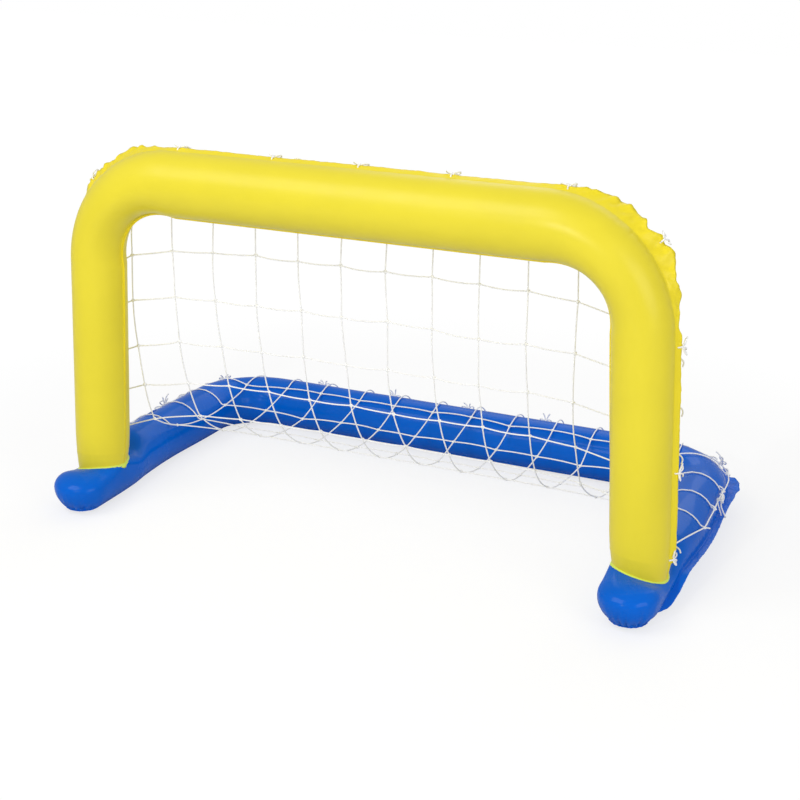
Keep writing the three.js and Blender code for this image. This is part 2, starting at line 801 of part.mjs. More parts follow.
// The cord goes through the eyelet, round the flange's rim and round the net's edge strand.
// On the frame its bow lies at the rim, on the base at the net.
function tie_geometry(place, bow_at_rim) {
  const { eyelet, rim, net, out, way, normal, along } = place;
  const flange_face = weld_gap / 2 + sheet + seat_gap + tie_half;
  const to_net = net.clone().sub(eyelet).normalize();
  const slant = to_net.clone().cross(place.strand_along).length();
  const strand_face = (place.strand_half * Math.SQRT2 + seat_gap + tie_half) / slant;
  const outward = out.clone().addScaledVector(to_net, -out.dot(to_net)).normalize();
  const rim_face = seat_gap + (bow_at_rim ? bow_knot_radius : tie_half);
  const knot = bow_at_rim
    ? combine(rim, [way, rim_face])
    : combine(net, [outward, strand_face + bow_knot_radius - tie_half]);
  const below_net = combine(net, [outward, -strand_face - seat_gap], [to_net, strand_face]);
  const below_flange = combine(eyelet, [normal, flange_face]);
  const cord_reach = tie_half * Math.SQRT2;
  const ring = [
    combine(eyelet, [normal, -flange_face]),
    combine(rim, [way, rim_face], [normal, -flange_face]),
    combine(rim, [way, rim_face], [normal, flange_face]),
    ...(bow_at_rim ? [] : [knot]),
    combine(net, [outward, strand_face], [to_net, strand_face]),
    below_net,
    ...(bow_at_rim ? [pushed_out(below_net.clone().lerp(below_flange, 0.5), cord_reach + seat_gap)] : []),
    below_flange,
  ];
  const hang = bow_at_rim ? normal.clone().negate() : to_net;
  const face = bow_at_rim ? way : outward;
  return geometry_from(joined([cord_geometry(ring, along, tie_half, true), ...bow(knot, along, face, hang)]));
}

function eyelet_cutter({ eyelet, normal, along }) {
  const hole = rod(eyelet_radius, -cut_overrun, cut_overrun, eyelet_sides);
  return solid_of(placed(hole, eyelet, normal, along));
}

// Valves

// The space that a tube's upper half takes up, grown by a gap: solid down to a depth under its weld
function envelope(stations, rounded_ends, grow, solid_depth) {
  return panel(stations, 1, { rounded_ends, grow, solid_depth });
}

// Where a valve stands: z out of the skin, x along the tube
function valve_matrix(stations, point, angle) {
  const s = nearest_on(stations, point);
  const z = combine(new THREE.Vector3(), [s.out, Math.cos(angle)], [s.rear, Math.sin(angle)]);
  const x = s.along.clone().addScaledVector(z, -s.along.dot(z)).normalize();
  const y = z.clone().cross(x);
  return new THREE.Matrix4().makeBasis(x, y, z).setPosition(combine(s.at, [z, s.half_width]));
}

// Cup: a skirt that lies on the tube's skin, and a well with a hole in its floor for the stem
function cup_geometry(tube_at, matrix) {
  const to_valve = matrix.clone().invert();
  const skin = (grow) => solid_of(tube_at(grow).applyMatrix4(to_valve));
  const rim = seat_gap + valve_wall;
  const disc = rod(skirt_radius, -well_depth, 2 * rim);
  const well_bore = rod(well_radius - valve_wall / 2, -2 * well_depth, 4 * rim);
  const skirt = solid_of(disc).intersect(skin(rim)).subtract(skin(seat_gap)).subtract(solid_of(well_bore));
  const hole_radius = stem_radius + seat_gap;
  const well = turned([
    [hole_radius, -well_depth],
    [well_radius, -well_depth],
    [well_radius, rim],
    [well_radius - valve_wall, rim],
    [well_radius - valve_wall, valve_wall - well_depth],
    [hole_radius, valve_wall - well_depth],
  ]);
  return geometry_from(skirt.add(solid_of(well)));
}

function stem_geometry() {
  const lip_radius = stem_radius + stem_lip;
  const bottom = lip_thickness - stem_length;
  return turned([
    [bore_radius, bottom],
    [lip_radius, bottom],
    [lip_radius, bottom + lip_thickness],
    [stem_radius, bottom + lip_thickness],
    [stem_radius, 0],
    [lip_radius, 0],
    [lip_radius, lip_thickness],
    [bore_radius, lip_thickness],
  ]);
}

function plug_geometry() {
  const pin_radius = bore_radius - plug_clearance;
  const cap = turned([
    [0, -plug_length],
    [pin_radius, -plug_length],
    [pin_radius, 0],
    [cap_radius, 0],
    [cap_radius, cap_thickness],
    [0, cap_thickness],
  ]);
  const tab = new THREE.BoxGeometry(tab_length, tab_width, cap_thickness + tab_height);
  return geometry_from(joined([cap, tab.translate(0, 0, (cap_thickness + tab_height) / 2 + seat_gap)]));
}

// Check flap: a disc with a hinge strip, hanging from the hinge at its edge
function flap_geometry() {
  const shape = new THREE.Shape();
  const strip = flap_radius / 2;
  const start_angle = Math.asin(strip / flap_radius);
  shape.moveTo(-stem_radius, -strip);
  shape.absarc(0, 0, flap_radius, Math.PI + start_angle, 3 * Math.PI - start_angle, false);
  shape.lineTo(-stem_radius, strip);
  const options = { depth: flap_thickness, bevelEnabled: false, curveSegments: round_sides };
  return new THREE.ExtrudeGeometry(shape, options);
}

// Assembly

const goal = new THREE.Group();

function piece(name, geometry, material) {
  const mesh = new THREE.Mesh(geometry, material);
  mesh.name = name;
  return mesh;
}

// A valve with its stem pushed in and its plug closed, as it is kept in use
function valve(name, tube_at, matrix, material) {
  const group = new THREE.Group();
  group.applyMatrix4(matrix);
  const stem_seat = valve_wall - well_depth + seat_gap;
  const cup = piece(`${name}_valve_cup`, cup_geometry(tube_at, matrix), material);
  const stem = piece(`${name}_valve_stem`, stem_geometry(), clear_vinyl);
  const plug = piece(`${name}_valve_plug`, plug_geometry(), clear_vinyl);
  const flap = piece(`${name}_valve_flap`, flap_geometry(), clear_vinyl);
  stem.position.z = stem_seat;
  plug.position.z = stem_seat + lip_thickness + seat_gap;
  flap.position.z = stem_seat + lip_thickness - stem_length - seat_gap - flap_thickness;
  group.add(cup, stem, plug, flap);
  return group;
}

const frame_valve_matrix = valve_matrix(
  frame,
  new THREE.Vector3(-post_foot_x, 0, frame_valve_height),
  Math.PI / 2,
);
const base_valve_matrix = valve_matrix(
  base,
  new THREE.Vector3(-side_tube_x, base_valve_reach, base_centre_height),
  base_valve_angle,
);
const frame_skin_at = (grow) => envelope(frame, false, grow, 0);
const base_skin_at = (grow) => envelope(base, true, grow, base_centre_height);

function well_cutter(matrix) {
  return solid_of(rod(well_radius + seat_gap, -2 * well_depth, 2 * well_depth).applyMatrix4(matrix));
}

const ties = tie_places();
const frame_ties = ties.filter((place) => place.stations === frame);
const base_ties = ties.filter((place) => place.stations === base);
const base_space = solid_of(base_skin_at(seat_gap));

function trimmed(geometry, cutters) {
  return geometry_from(cutters.reduce((solid, cutter) => solid.subtract(cutter), solid_of(geometry)));
}

const frame_eyelets = frame_ties.map(eyelet_cutter);
const base_eyelets = base_ties.map(eyelet_cutter);
const frame_back_cuts = [base_space, ...frame_eyelets, well_cutter(frame_valve_matrix)];
const base_top = panel(base, 1, { rounded_ends: true });
const base_bottom = panel(base, -1, { rounded_ends: true, floor: 0 });

goal.add(
  piece('frame_front_panel', trimmed(panel(frame, -1), [base_space, ...frame_eyelets]), yellow),
  piece('frame_back_panel', trimmed(panel(frame, 1), frame_back_cuts), yellow),
  piece('base_top_panel', trimmed(base_top, [...base_eyelets, well_cutter(base_valve_matrix)]), blue),
  piece('base_bottom_panel', trimmed(base_bottom, base_eyelets), blue),
  piece('net', net_geometry(), white_cord),
  valve('frame', frame_skin_at, frame_valve_matrix, yellow),
  valve('base', base_skin_at, base_valve_matrix, blue),
);
frame_ties.forEach((place, index) => {
  goal.add(piece(`frame_tie_${index + 1}`, tie_geometry(place, true), white_cord));
});
base_ties.forEach((place, index) => {
  goal.add(piece(`base_tie_${index + 1}`, tie_geometry(place, false), white_cord));
});

// The origin goes to the floor, under the middle of the outline
const outline = new THREE.Box3().setFromObject(goal);
goal.position.y = -(outline.min.y + outline.max.y) / 2;

export default goal;
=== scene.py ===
"""Inflatable floating goal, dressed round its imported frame.

Yellow upright tube, blue base tube, knotted net, tied bows and two valves, in metres.
+Z is up, +X along the crossbar and +Y from the mouth towards the back of the goal.
"""

import copy
import math
import random

import bmesh
import bpy
from mathutils import Matrix, Vector, noise


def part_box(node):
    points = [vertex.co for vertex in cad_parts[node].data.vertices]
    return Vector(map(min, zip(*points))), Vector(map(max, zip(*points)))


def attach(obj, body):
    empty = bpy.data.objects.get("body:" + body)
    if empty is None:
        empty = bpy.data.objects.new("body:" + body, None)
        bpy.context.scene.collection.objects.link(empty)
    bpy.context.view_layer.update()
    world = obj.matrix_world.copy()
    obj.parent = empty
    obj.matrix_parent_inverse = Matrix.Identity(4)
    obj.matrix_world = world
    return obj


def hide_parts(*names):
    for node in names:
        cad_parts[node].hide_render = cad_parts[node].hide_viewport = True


bl_info = {
    "name": "Floating goal",
    "version": (1, 0, 0),
    "blender": (4, 5, 0),
    "location": "View3D > Sidebar > Goal",
    "description": "Builds the vinyl, net, ties and valves of an inflatable floating goal",
    "category": "Add Mesh",
}

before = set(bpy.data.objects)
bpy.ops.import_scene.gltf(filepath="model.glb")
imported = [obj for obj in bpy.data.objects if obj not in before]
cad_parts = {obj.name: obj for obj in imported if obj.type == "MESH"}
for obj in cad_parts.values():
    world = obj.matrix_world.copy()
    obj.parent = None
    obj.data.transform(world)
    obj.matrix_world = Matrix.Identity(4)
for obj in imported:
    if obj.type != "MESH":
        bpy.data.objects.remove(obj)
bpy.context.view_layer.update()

MM = 0.001
X_AXIS, Y_AXIS, Z_AXIS = Vector((1, 0, 0)), Vector((0, 1, 0)), Vector((0, 0, 1))

# Upright tube and base tube, the same sizes as the frame's
POST_SPACING = 1.176
POST_LEAN = math.radians(2.7)
BAR_HEIGHT = 0.696
BAR_RADIUS = 0.064
POST_RADIUS = 0.056
ANKLE_RADIUS = 0.050
ANKLE_LENGTH = 0.110
FRAME_CORNER_RADIUS = 0.186
BASE_TUBE_RADIUS = 0.0555
BASE_CENTRE_HEIGHT = 0.053
BASE_DEPTH = 0.556
BASE_CORNER_RADIUS = 0.130
FOOT_REACH = 0.073
SIDE_TUBE_OUTSET = 0.0045
PRESSED_LENGTH = 0.062
PRESSED_CREST_SHARE = 0.56
PRESSED_ROUNDNESS_SHARE = 0.80
PRESSED_WIDENING = 0.0045
SIDE_BOW = 0.009
SHEET = 0.0003
FLANGE_WIDTH = 0.014
INNER_FLANGE_WIDTH = 0.005
BASE_INNER_FLANGE_WIDTH = 0.001
ANKLE_FLANGE_WIDTH = 0.003
ANKLE_FLANGE_SHARES = (0.2, 0.7)
ANKLE_INNER_SHARE = 0.1
ANKLE_INNER_START = 0.02
FOOT_FLANGE_WIDTH = 0.0008
POST_FLANGE_LEAN = math.radians(50)
BAR_FLANGE_LEAN = math.radians(71)
LEFT_CORNER_EXTRA_LEAN = math.radians(-4)

# The upright tube is folded narrower on the inside of its corners, and fuller outside at the left one
RIGHT_INNER_NARROWING = 0.008
LEFT_INNER_NARROWING = 0.015
LEFT_OUTER_FULLNESS = 0.004

# The base's welds run low at the inside and round the feet, so the upper sheet wraps down there
WELD_DROP = math.radians(52)
DROPPED_FLANGE_LEAN = math.radians(-35)
WELD_RISE_START = -0.045
WELD_RISE_END = 0.075

# Weld of a post on the base tube, and the slight ridge above it
WELD_RIDGE_RISE = 0.050
WELD_RIDGE_WIDTH = 0.0035
WELD_RIDGE_HEIGHT = 0.0006
WELD_BEAD_WIDTH = 0.0032
WELD_BEAD_HEIGHT = 0.0011
ANKLE_SHEET_START = 0.008
RING_FRONT_HEIGHT = 0.082
RING_SLOPE = -0.0117
RING_CURVE = -0.0063
COLLAR_REACH = 0.030
COLLAR_RISE = 0.4
WELD_TRIES = 8
WELD_TRY_SHARE = 0.8
EYELET_INSET = 0.007

# The plane of the posts: the front panel reaches one crossbar radius in front of it
MOUTH_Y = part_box("frame_front_panel")[0].y + BAR_RADIUS

# Width of the loose corner flanges: (degrees from the crossbar's end, width)
RIGHT_CORNER_FLANGE = [
    (0, 0.014), (9, 0.015), (16, 0.024), (25, 0.035), (32, 0.039), (39, 0.034), (44, 0.023),
    (50, 0.034), (58, 0.037), (64, 0.022), (67, 0.020), (73, 0.025), (79, 0.013), (86, 0.008), (90, 0.014),
]
LEFT_CORNER_FLANGE = [
    (0, 0.014), (8, 0.014), (15, 0.022), (24, 0.037), (30, 0.034), (36, 0.023), (42, 0.026),
    (50, 0.035), (57, 0.033), (62, 0.021), (70, 0.026), (78, 0.017), (84, 0.010), (90, 0.014),
]
BASE_CORNER_FLANGE = [
    (0, 0.014), (10, 0.016), (20, 0.026), (31, 0.033), (38, 0.024), (47, 0.033), (56, 0.027),
    (64, 0.031), (73, 0.021), (82, 0.016), (90, 0.014),
]

# Net
CORD_RADIUS = 0.0014
KNOT_RADIUS = 0.0016
NET_HALF_WIDTH = 0.6145
MESH_SIZE = 0.09
COLUMN_COUNT = 14
ROW_COUNT = 12
UPRIGHT_ROWS = 6
NET_STANDOFF = 0.0085
NET_CLEARANCE = 0.0014
KNOT_STANDOFF = KNOT_RADIUS * 1.4 + NET_CLEARANCE
STRAND_CLEARANCE = 0.0006
LAID_EDGE_START = 0.205
FRAME_EDGE_ANGLE = math.radians(38)
BASE_EDGE_ANGLE = math.radians(30)
NET_CORNER_ANGLE = math.radians(40)
LAID_END_ANGLE = math.radians(57)
LANDING_ANGLE = math.radians(70)
FALL_REACH_SHARE = 0.375
FALL_HEIGHT_SHARE = 0.46
SAG_LENGTH_SHARE = 0.815
SIDE_PULL_POWER = 1 / 0.17
KNOT_TURN_SHARE = 0.4
LAST_COLUMN = COLUMN_COUNT - 1
LAST_ROW = ROW_COUNT - 1

# Ties, at places along the net's edge, numbered as the frame numbers them
BAR_TIE_COLUMNS = [2.54, 4.74, 6.65, 8.6, 10.86]
REAR_TIE_COLUMNS = [2.5, 4.5, 6.5, 8.5, 10.5]
SIDE_TIE_ROWS = [1.66, 4.25, 5.78, 8.5, 10.62]
CORNER_TIE_COLUMN = 12.76
EYELET_DROP = 0.030
TIE_RADIUS = 0.0015

# Valves
WELL_RADIUS = 0.009
WELL_DEPTH = 0.006
SKIRT_RADIUS = 0.014
VALVE_WALL = 0.0008
STEM_RADIUS = 0.005
STEM_LIP = 0.0013
LIP_THICKNESS = 0.0012
STEM_LENGTH = 0.015
BORE_RADIUS = 0.0032
CAP_RADIUS = 0.006
CAP_THICKNESS = 0.0012
PLUG_LENGTH = 0.009
FLAP_RADIUS = 0.0043
FLAP_THICKNESS = 0.0005
FRAME_VALVE_HEIGHT = 0.270
BASE_VALVE_REACH = 0.254
BASE_VALVE_ANGLE = math.radians(54)
SEAT_GAP = 0.0003
SKIRT_LAP = 0.0004
SKIRT_RIBS = [(0.0009, 1.0), (0.0016, 0.72), (0.0024, 1.0), (0.0032, 0.72), (0.0038, 1.0)]
PIN_TAPER = 0.0012
TAB_HALF_WIDTH = 0.004
TAB_HEIGHT = 0.0024
TAB_POWER = 0.7
TAB_STEPS = 24
TAB_LAYERS = [(-0.0008, 0.9), (-0.0005, 1.0), (0.0005, 1.0), (0.0008, 0.9)]
FLAP_EDGE = 0.00012
FLAP_EDGE_SHARE = 0.97
FLAP_STEPS = 36
ROUNDING_STEPS = 3
CORNER_CUT_SHARE = 0.45
VALVE_ROUNDING = 0.0004
FINE_ROUNDING = 0.0003
VALVE_SMOOTH_ANGLE = math.radians(50)
VALVE_HOLE_RADIUS = 0.0096
VALVE_FLAT_RADIUS = 0.016
VALVE_BLEND_RADIUS = 0.028


def lerp(a, b, share):
    return a + (b - a) * share


def smooth(value, low, high):
    share = min(max((value - low) / (high - low), 0.0), 1.0)
    return share * share * (3 - 2 * share)


def signed_power(value, power):
    return math.copysign(abs(value) ** power, value)


def round_angles(count):
    """The angles of one full turn in equal steps."""
    return [2 * math.pi * step / count for step in range(count)]


def read_table(table, value):
    """Value of a table of (place, value) rows, eased between its rows."""
    for (start, low), (stop, high) in zip(table, table[1:]):
        if value <= stop:
            return lerp(low, high, smooth(value, start, stop))
    return table[-1][1]


def combine(origin, *terms):
    point = origin.copy()
    for direction, length in terms:
        point += direction * length
    return point


def turned_pair(first, second, angle):
    """Two square directions, both turned in their plane from the first towards the second."""
    return (
        first * math.cos(angle) + second * math.sin(angle),
        second * math.cos(angle) - first * math.sin(angle),
    )


def placing(x, y, z, at):
    """The matrix of a place with three axes."""
    matrix = Matrix((x, y, z)).transposed().to_4x4()
    matrix.translation = at
    return matrix


# Tube sections


class Section:
    """A cross-section of a tube: out points away from the goal's inside, rear to the net's side.

    The flange leans to the rear by an angle, and folds lift its rim off that slope. Pressed says
    how far the weight of the posts flattens the upper sheet, from 0 to 1.
    """

    def __init__(self, at, out, rear, radius, flange, lean=0.0, pressed=0.0):
        self.at, self.out, self.rear, self.radius, self.flange = at, out, rear, radius, flange
        self.lean, self.pressed = lean, pressed
        self.lift = self.run = self.bend = 0.0
        self.outer_drop = self.inner_drop = 0.0
        self.inner_width, self.end_share = INNER_FLANGE_WIDTH, 0.0
        self.outer_widening, self.inner_widening = 0.0, PRESSED_WIDENING * pressed
        self.side = 1
        self.along = None

    @property
    def way(self):
        """The direction across the flange, from the weld to the rim."""
        return turned_pair(self.out, self.rear, self.lean)[0]

    @property
    def normal(self):
        """The direction square to the flange, on the net's side."""
        return turned_pair(self.out, self.rear, self.lean)[1]

    @property
    def weld(self):
        return self.skin_point(-self.outer_drop)

    def inner_flange(self):
        """The inner weld, with the direction across its flange and square to it."""
        lean = DROPPED_FLANGE_LEAN * self.inner_drop / WELD_DROP
        way, normal = turned_pair(-self.out, self.rear, lean)
        return self.skin_point(math.pi + self.inner_drop), way, normal

    def mirrored(self):
        flip = Vector((-1, 1, 1))
        other = copy.copy(self)
        other.at, other.out, other.side = self.at * flip, self.out * flip, -self.side
        return other

    def turned(self, turn):
        """This section swept round the tube's rounded end by an angle."""
        share = abs(turn) / math.pi
        other = copy.copy(self)
        other.out = self.out * math.cos(turn) - self.rear.cross(self.out) * math.sin(turn)
        other.flange = lerp(self.flange, self.inner_width, share)
        other.end_share = math.sin(abs(turn))
        other.outer_widening = lerp(self.outer_widening, self.inner_widening, share)
        return other

    def skin_point(self, angle, grow=0.0):
        """A point of the skin at an angle round the tube: 0 is out, 90 degrees is rear."""
        cosine, sine = math.cos(angle), math.sin(angle)
        pressed = self.pressed if sine > 0 else 0.0
        roundness = lerp(1, PRESSED_ROUNDNESS_SHARE, pressed * (1 - self.end_share))
        across = signed_power(cosine, roundness)
        rise = signed_power(sine, roundness)
        width = self.radius + grow + (self.outer_widening if cosine > 0 else self.inner_widening)
        crest = self.radius * lerp(1, PRESSED_CREST_SHARE, pressed) + grow
        point = combine(self.at, (self.out, width * across), (self.rear, crest * rise))
        if pressed:
            point.z += collar_lift(point) * smooth(rise, 0, COLLAR_RISE)
        return point


def with_runs(sections):
    """Gives each section its distance along the tube and the tube's direction there."""
    for before, after in zip(sections, sections[1:]):
        after.run = before.run + (after.at - before.at).length
    last = len(sections) - 1
    for index, section in enumerate(sections):
        ahead = sections[min(index + 1, last)].at - sections[max(index - 1, 0)].at
        section.along = ahead.normalized()
    return sections


def both_halves(right):
    return with_runs(right + [section.mirrored() for section in reversed(right[:-1])])


def spaced(start, stop, step):
    """Shares from 0 to 1 for a run, about a step apart."""
    count = max(int(math.ceil(abs(stop - start) / step)), 1)
    return [index / count for index in range(count + 1)]


CORNER_CENTRE_HEIGHT = BAR_HEIGHT - FRAME_CORNER_RADIUS
POST_TOP_HEIGHT = CORNER_CENTRE_HEIGHT + FRAME_CORNER_RADIUS * math.sin(POST_LEAN)
POST_LENGTH = (POST_TOP_HEIGHT - BASE_CENTRE_HEIGHT) / math.cos(POST_LEAN)
POST_FOOT_X = POST_SPACING / 2
POST_TOP_X = POST_FOOT_X - POST_LENGTH * math.sin(POST_LEAN)
FRAME_CORNER_X = POST_TOP_X - FRAME_CORNER_RADIUS * math.cos(POST_LEAN)
SIDE_TUBE_X = POST_FOOT_X + SIDE_TUBE_OUTSET
def post_axes(side):
    """A post's foot on the base tube's centreline, with the directions up the post and out of it."""
    foot = Vector((POST_FOOT_X * side, MOUTH_Y, BASE_CENTRE_HEIGHT))
    up = Vector((-math.sin(POST_LEAN) * side, 0, math.cos(POST_LEAN)))
    out = Vector((math.cos(POST_LEAN) * side, 0, math.sin(POST_LEAN)))
    return foot, up, out


def post_radius(reach):
    """The post's radius at a distance up from its foot: it narrows towards the ankle."""
    rise = min(reach / ANKLE_LENGTH, 1)
    return POST_RADIUS - (POST_RADIUS - ANKLE_RADIUS) * (1 - rise) ** 2


def upright_sections(step, bend_step):
    """The upright tube from its right foot over the crossbar to its left foot."""
    right = []
    foot, post_up, post_out = post_axes(1)
    for share in spaced(0, POST_LENGTH, step)[:-1]:
        reach = lerp(ANKLE_SHEET_START, POST_LENGTH, share)
        radius = post_radius(reach)
        radius += WELD_RIDGE_HEIGHT * math.exp(-((reach - WELD_RIDGE_RISE) / WELD_RIDGE_WIDTH) ** 2)
        flange = lerp(ANKLE_FLANGE_WIDTH, FLANGE_WIDTH, smooth(reach / ANKLE_LENGTH, *ANKLE_FLANGE_SHARES))
        at = combine(foot, (post_up, reach))
        section = Section(at, post_out, Y_AXIS, radius, flange, POST_FLANGE_LEAN)
        inner_share = lerp(ANKLE_INNER_SHARE, 1, smooth(reach, ANKLE_INNER_START, POST_LENGTH))
        section.inner_width = INNER_FLANGE_WIDTH * inner_share
        right.append(section)
    centre = Vector((FRAME_CORNER_X, MOUTH_Y, CORNER_CENTRE_HEIGHT))
    for share in spaced(0, FRAME_CORNER_RADIUS * math.pi / 2, bend_step):
        angle = lerp(POST_LEAN, math.pi / 2, share)
        out = Vector((math.cos(angle), 0, math.sin(angle)))
        radius = lerp(POST_RADIUS, BAR_RADIUS, smooth(share, 0, 1))
        section = Section(combine(centre, (out, FRAME_CORNER_RADIUS)), out, Y_AXIS, radius, FLANGE_WIDTH)
        section.bend = math.sin(math.pi * share)
        section.flange = read_table(RIGHT_CORNER_FLANGE, 90 * (1 - share))
        section.lean = lerp(POST_FLANGE_LEAN, BAR_FLANGE_LEAN, share)
        right.append(section)
    for share in spaced(0, FRAME_CORNER_X, step)[1:]:
        at = Vector((FRAME_CORNER_X * (1 - share), MOUTH_Y, BAR_HEIGHT))
        right.append(Section(at, Z_AXIS, Y_AXIS, BAR_RADIUS, FLANGE_WIDTH, BAR_FLANGE_LEAN))
    sections = both_halves(right)
    for section in sections:
        narrowing = RIGHT_INNER_NARROWING if section.side > 0 else LEFT_INNER_NARROWING
        section.inner_widening = -narrowing * section.bend
        if section.side < 0 and section.bend:
            section.outer_widening = LEFT_OUTER_FULLNESS * section.bend
            angle = math.degrees(math.atan2(-section.out.x, section.out.z))
            section.flange = read_table(LEFT_CORNER_FLANGE, angle * 90 / (90 - math.degrees(POST_LEAN)))
            section.lean += LEFT_CORNER_EXTRA_LEAN * section.bend
    return sections


def pressed_at(y):
    """How far the posts' weight presses the base tube down: 1 at the feet, 0 behind the posts."""
    return 1 - smooth(y, PRESSED_LENGTH, 2 * PRESSED_LENGTH)


def side_centre_x(y):
    """The side tube's centreline bows outwards between the post and the rear corner."""
    return SIDE_TUBE_X + SIDE_BOW * math.sin(math.pi * smooth(y, 0, BASE_DEPTH - BASE_CORNER_RADIUS))


def base_sections(step, bend_step):
    """The base tube from its right foot round the back to its left foot."""
    right = []
    corner_y = BASE_DEPTH - BASE_CORNER_RADIUS
    for share in spaced(-FOOT_REACH, corner_y, step)[:-1]:
        y = lerp(-FOOT_REACH, corner_y, share)
        at = Vector((side_centre_x(y), MOUTH_Y + y, BASE_CENTRE_HEIGHT))
        flange = lerp(FOOT_FLANGE_WIDTH, FLANGE_WIDTH, smooth(y, WELD_RISE_START, 0))
        section = Section(at, X_AXIS, Z_AXIS, BASE_TUBE_RADIUS, flange, 0.0, pressed_at(y))
        dropped = 1 - smooth(y, WELD_RISE_START, WELD_RISE_END)
        section.outer_drop, section.lean = WELD_DROP * dropped, DROPPED_FLANGE_LEAN * dropped
        right.append(section)
    centre = Vector((SIDE_TUBE_X - BASE_CORNER_RADIUS, MOUTH_Y + corner_y, BASE_CENTRE_HEIGHT))
    for share in spaced(0, BASE_CORNER_RADIUS * math.pi / 2, bend_step):
        angle = math.pi / 2 * share
        out = Vector((math.cos(angle), math.sin(angle), 0))
        at = combine(centre, (out, BASE_CORNER_RADIUS))
        section = Section(at, out, Z_AXIS, BASE_TUBE_RADIUS, read_table(BASE_CORNER_FLANGE, 90 * share))
        section.bend = math.sin(math.pi * share)
        right.append(section)
    for share in spaced(0, centre.x, step)[1:]:
        at = Vector((centre.x * (1 - share), MOUTH_Y + BASE_DEPTH, BASE_CENTRE_HEIGHT))
        right.append(Section(at, Y_AXIS, Z_AXIS, BASE_TUBE_RADIUS, FLANGE_WIDTH))
    for section in right:
        section.inner_drop = WELD_DROP
        section.inner_width = BASE_INNER_FLANGE_WIDTH
    return both_halves(right)


def pressed_skin_height(point):
    """Height of the base tube's pressed upper sheet over a point, before the post draws it up."""
    y = point.y - MOUTH_Y
    pressed = pressed_at(y)
    across = abs(point.x) - side_centre_x(y)
    width = BASE_TUBE_RADIUS + (PRESSED_WIDENING * pressed if across < 0 else 0.0)
    roundness = lerp(1, PRESSED_ROUNDNESS_SHARE, pressed)
    cosine = min(abs(across) / width, 1.0) ** (1 / roundness)
    rise = math.sqrt(1 - cosine * cosine) ** roundness
    crest = BASE_TUBE_RADIUS * lerp(1, PRESSED_CREST_SHARE, pressed)
    return BASE_CENTRE_HEIGHT + crest * rise


def collar_lift(point):
    """How far the weld of a post draws the upper sheet up or down at a point near it."""
    side = math.copysign(1, point.x)
    axis = Vector((POST_FOOT_X * side, MOUTH_Y, point.z))
    radial = point - axis
    distance = radial.length
    if distance > ANKLE_RADIUS + 3 * COLLAR_REACH:
        return 0.0
    radial = radial.normalized()
    outward = radial.x * side
    ring_height = RING_FRONT_HEIGHT + RING_SLOPE * outward + RING_CURVE * outward ** 2
    drawn = ring_height - pressed_skin_height(combine(axis, (radial, ANKLE_RADIUS)))
    beyond = max(distance - ANKLE_RADIUS, 0) / COLLAR_REACH
    return drawn * math.exp(-beyond ** 2)


def base_top_height(point):
    """Height of the base tube's upper sheet over a point near a post's foot."""
    return pressed_skin_height(point) + collar_lift(point)


def weld_rise(point, post_up):
    """How far along the post a point must move to meet the base tube's upper sheet."""
    moved = 0.0
    for _ in range(WELD_TRIES):
        trial = point + post_up * moved
        moved += (base_top_height(trial) - trial.z) * WELD_TRY_SHARE
    return moved


# Folds in the sheet

PUCKER_DEPTHS = (0.35, 1.0)
PUCKER_WIDTHS = (0.16, 0.3)
PUCKER_REACHES = (0.5, 1.1)
PUCKER_STEPS = (0.6, 1.5)
PUCKER_SPREAD = 3
BEND_NARROWING = 0.4
BEND_REACH_SHARE = 0.5
END_PUCKER_GAIN = 1.5


def make_puckers(seed, sections, spacing, depth, reach, bend_gain, margin):
    """Short grooves that run from a weld over the skin: (place, depth, half width, reach).

    They go on past both ends by a margin, round the tube's rounded ends.
    """
    draw = random.Random(seed)
    length = sections[-1].run
    puckers = []
    place = spacing * draw.random() - margin
    nearest = 0
    while place < length + margin:
        while sections[nearest].run < place and nearest < len(sections) - 1:
            nearest += 1
        on_tube = 0 < place < length
        bend = sections[nearest].bend if on_tube else 1.0
        beyond = 1.0 if on_tube else END_PUCKER_GAIN
        puckers.append((
            place,
            depth * (1 + bend_gain * bend) * beyond * draw.uniform(*PUCKER_DEPTHS),
            spacing * draw.uniform(*PUCKER_WIDTHS) / (1 + BEND_NARROWING * bend),
            reach * (1 + BEND_REACH_SHARE * bend_gain * bend) * beyond * draw.uniform(*PUCKER_REACHES),
        ))
        place += spacing * draw.uniform(*PUCKER_STEPS) / (1 + bend)
    return puckers


def nearby(puckers, run):
    """The puckers that a place along the tube can feel."""
    return [pucker for pucker in puckers if abs(pucker[0] - run) < PUCKER_SPREAD * pucker[2]]


def pucker_depth(near, run, distance):
    """How far nearby puckers draw the skin in at a distance from the weld."""
    total = 0.0
    for place, depth, width, reach in near:
        if distance < reach:
            total += depth * math.exp(-((run - place) / width) ** 2) * (1 - distance / reach) ** 2
    return total


class MeshParts:
    """Points, faces and texture places of a mesh while it is being made."""

    def __init__(self):
        self.points, self.faces, self.places = [], [], []

    def add_point(self, point, place):
        self.points.append(point)
        self.places.append(place)
        return len(self.points) - 1

    def add_strip(self, row, next_row, closed=False):
        count = len(row) if closed else len(row) - 1
        for index in range(count):
            after = (index + 1) % len(row)
            corners = [row[index], row[after], next_row[after], next_row[index]]
            distinct = list(dict.fromkeys(corners))
            if len(distinct) > 2:
                self.faces.append(distinct)

    def add_tube(self, rings, joined=False):
        """Faces between closed rings. The ends are joined to each other, or else capped."""
        for ring, next_ring in zip(rings, rings[1:] + rings[:1] if joined else rings[1:]):
            self.add_strip(ring, next_ring, closed=True)
        if not joined:
            self.faces += [rings[0][::-1], rings[-1]]

    def mesh(self, name, material):
        mesh = bpy.data.meshes.new(name)
        mesh.from_pydata([tuple(point) for point in self.points], [], self.faces)
        mesh.materials.append(material)
        return mesh


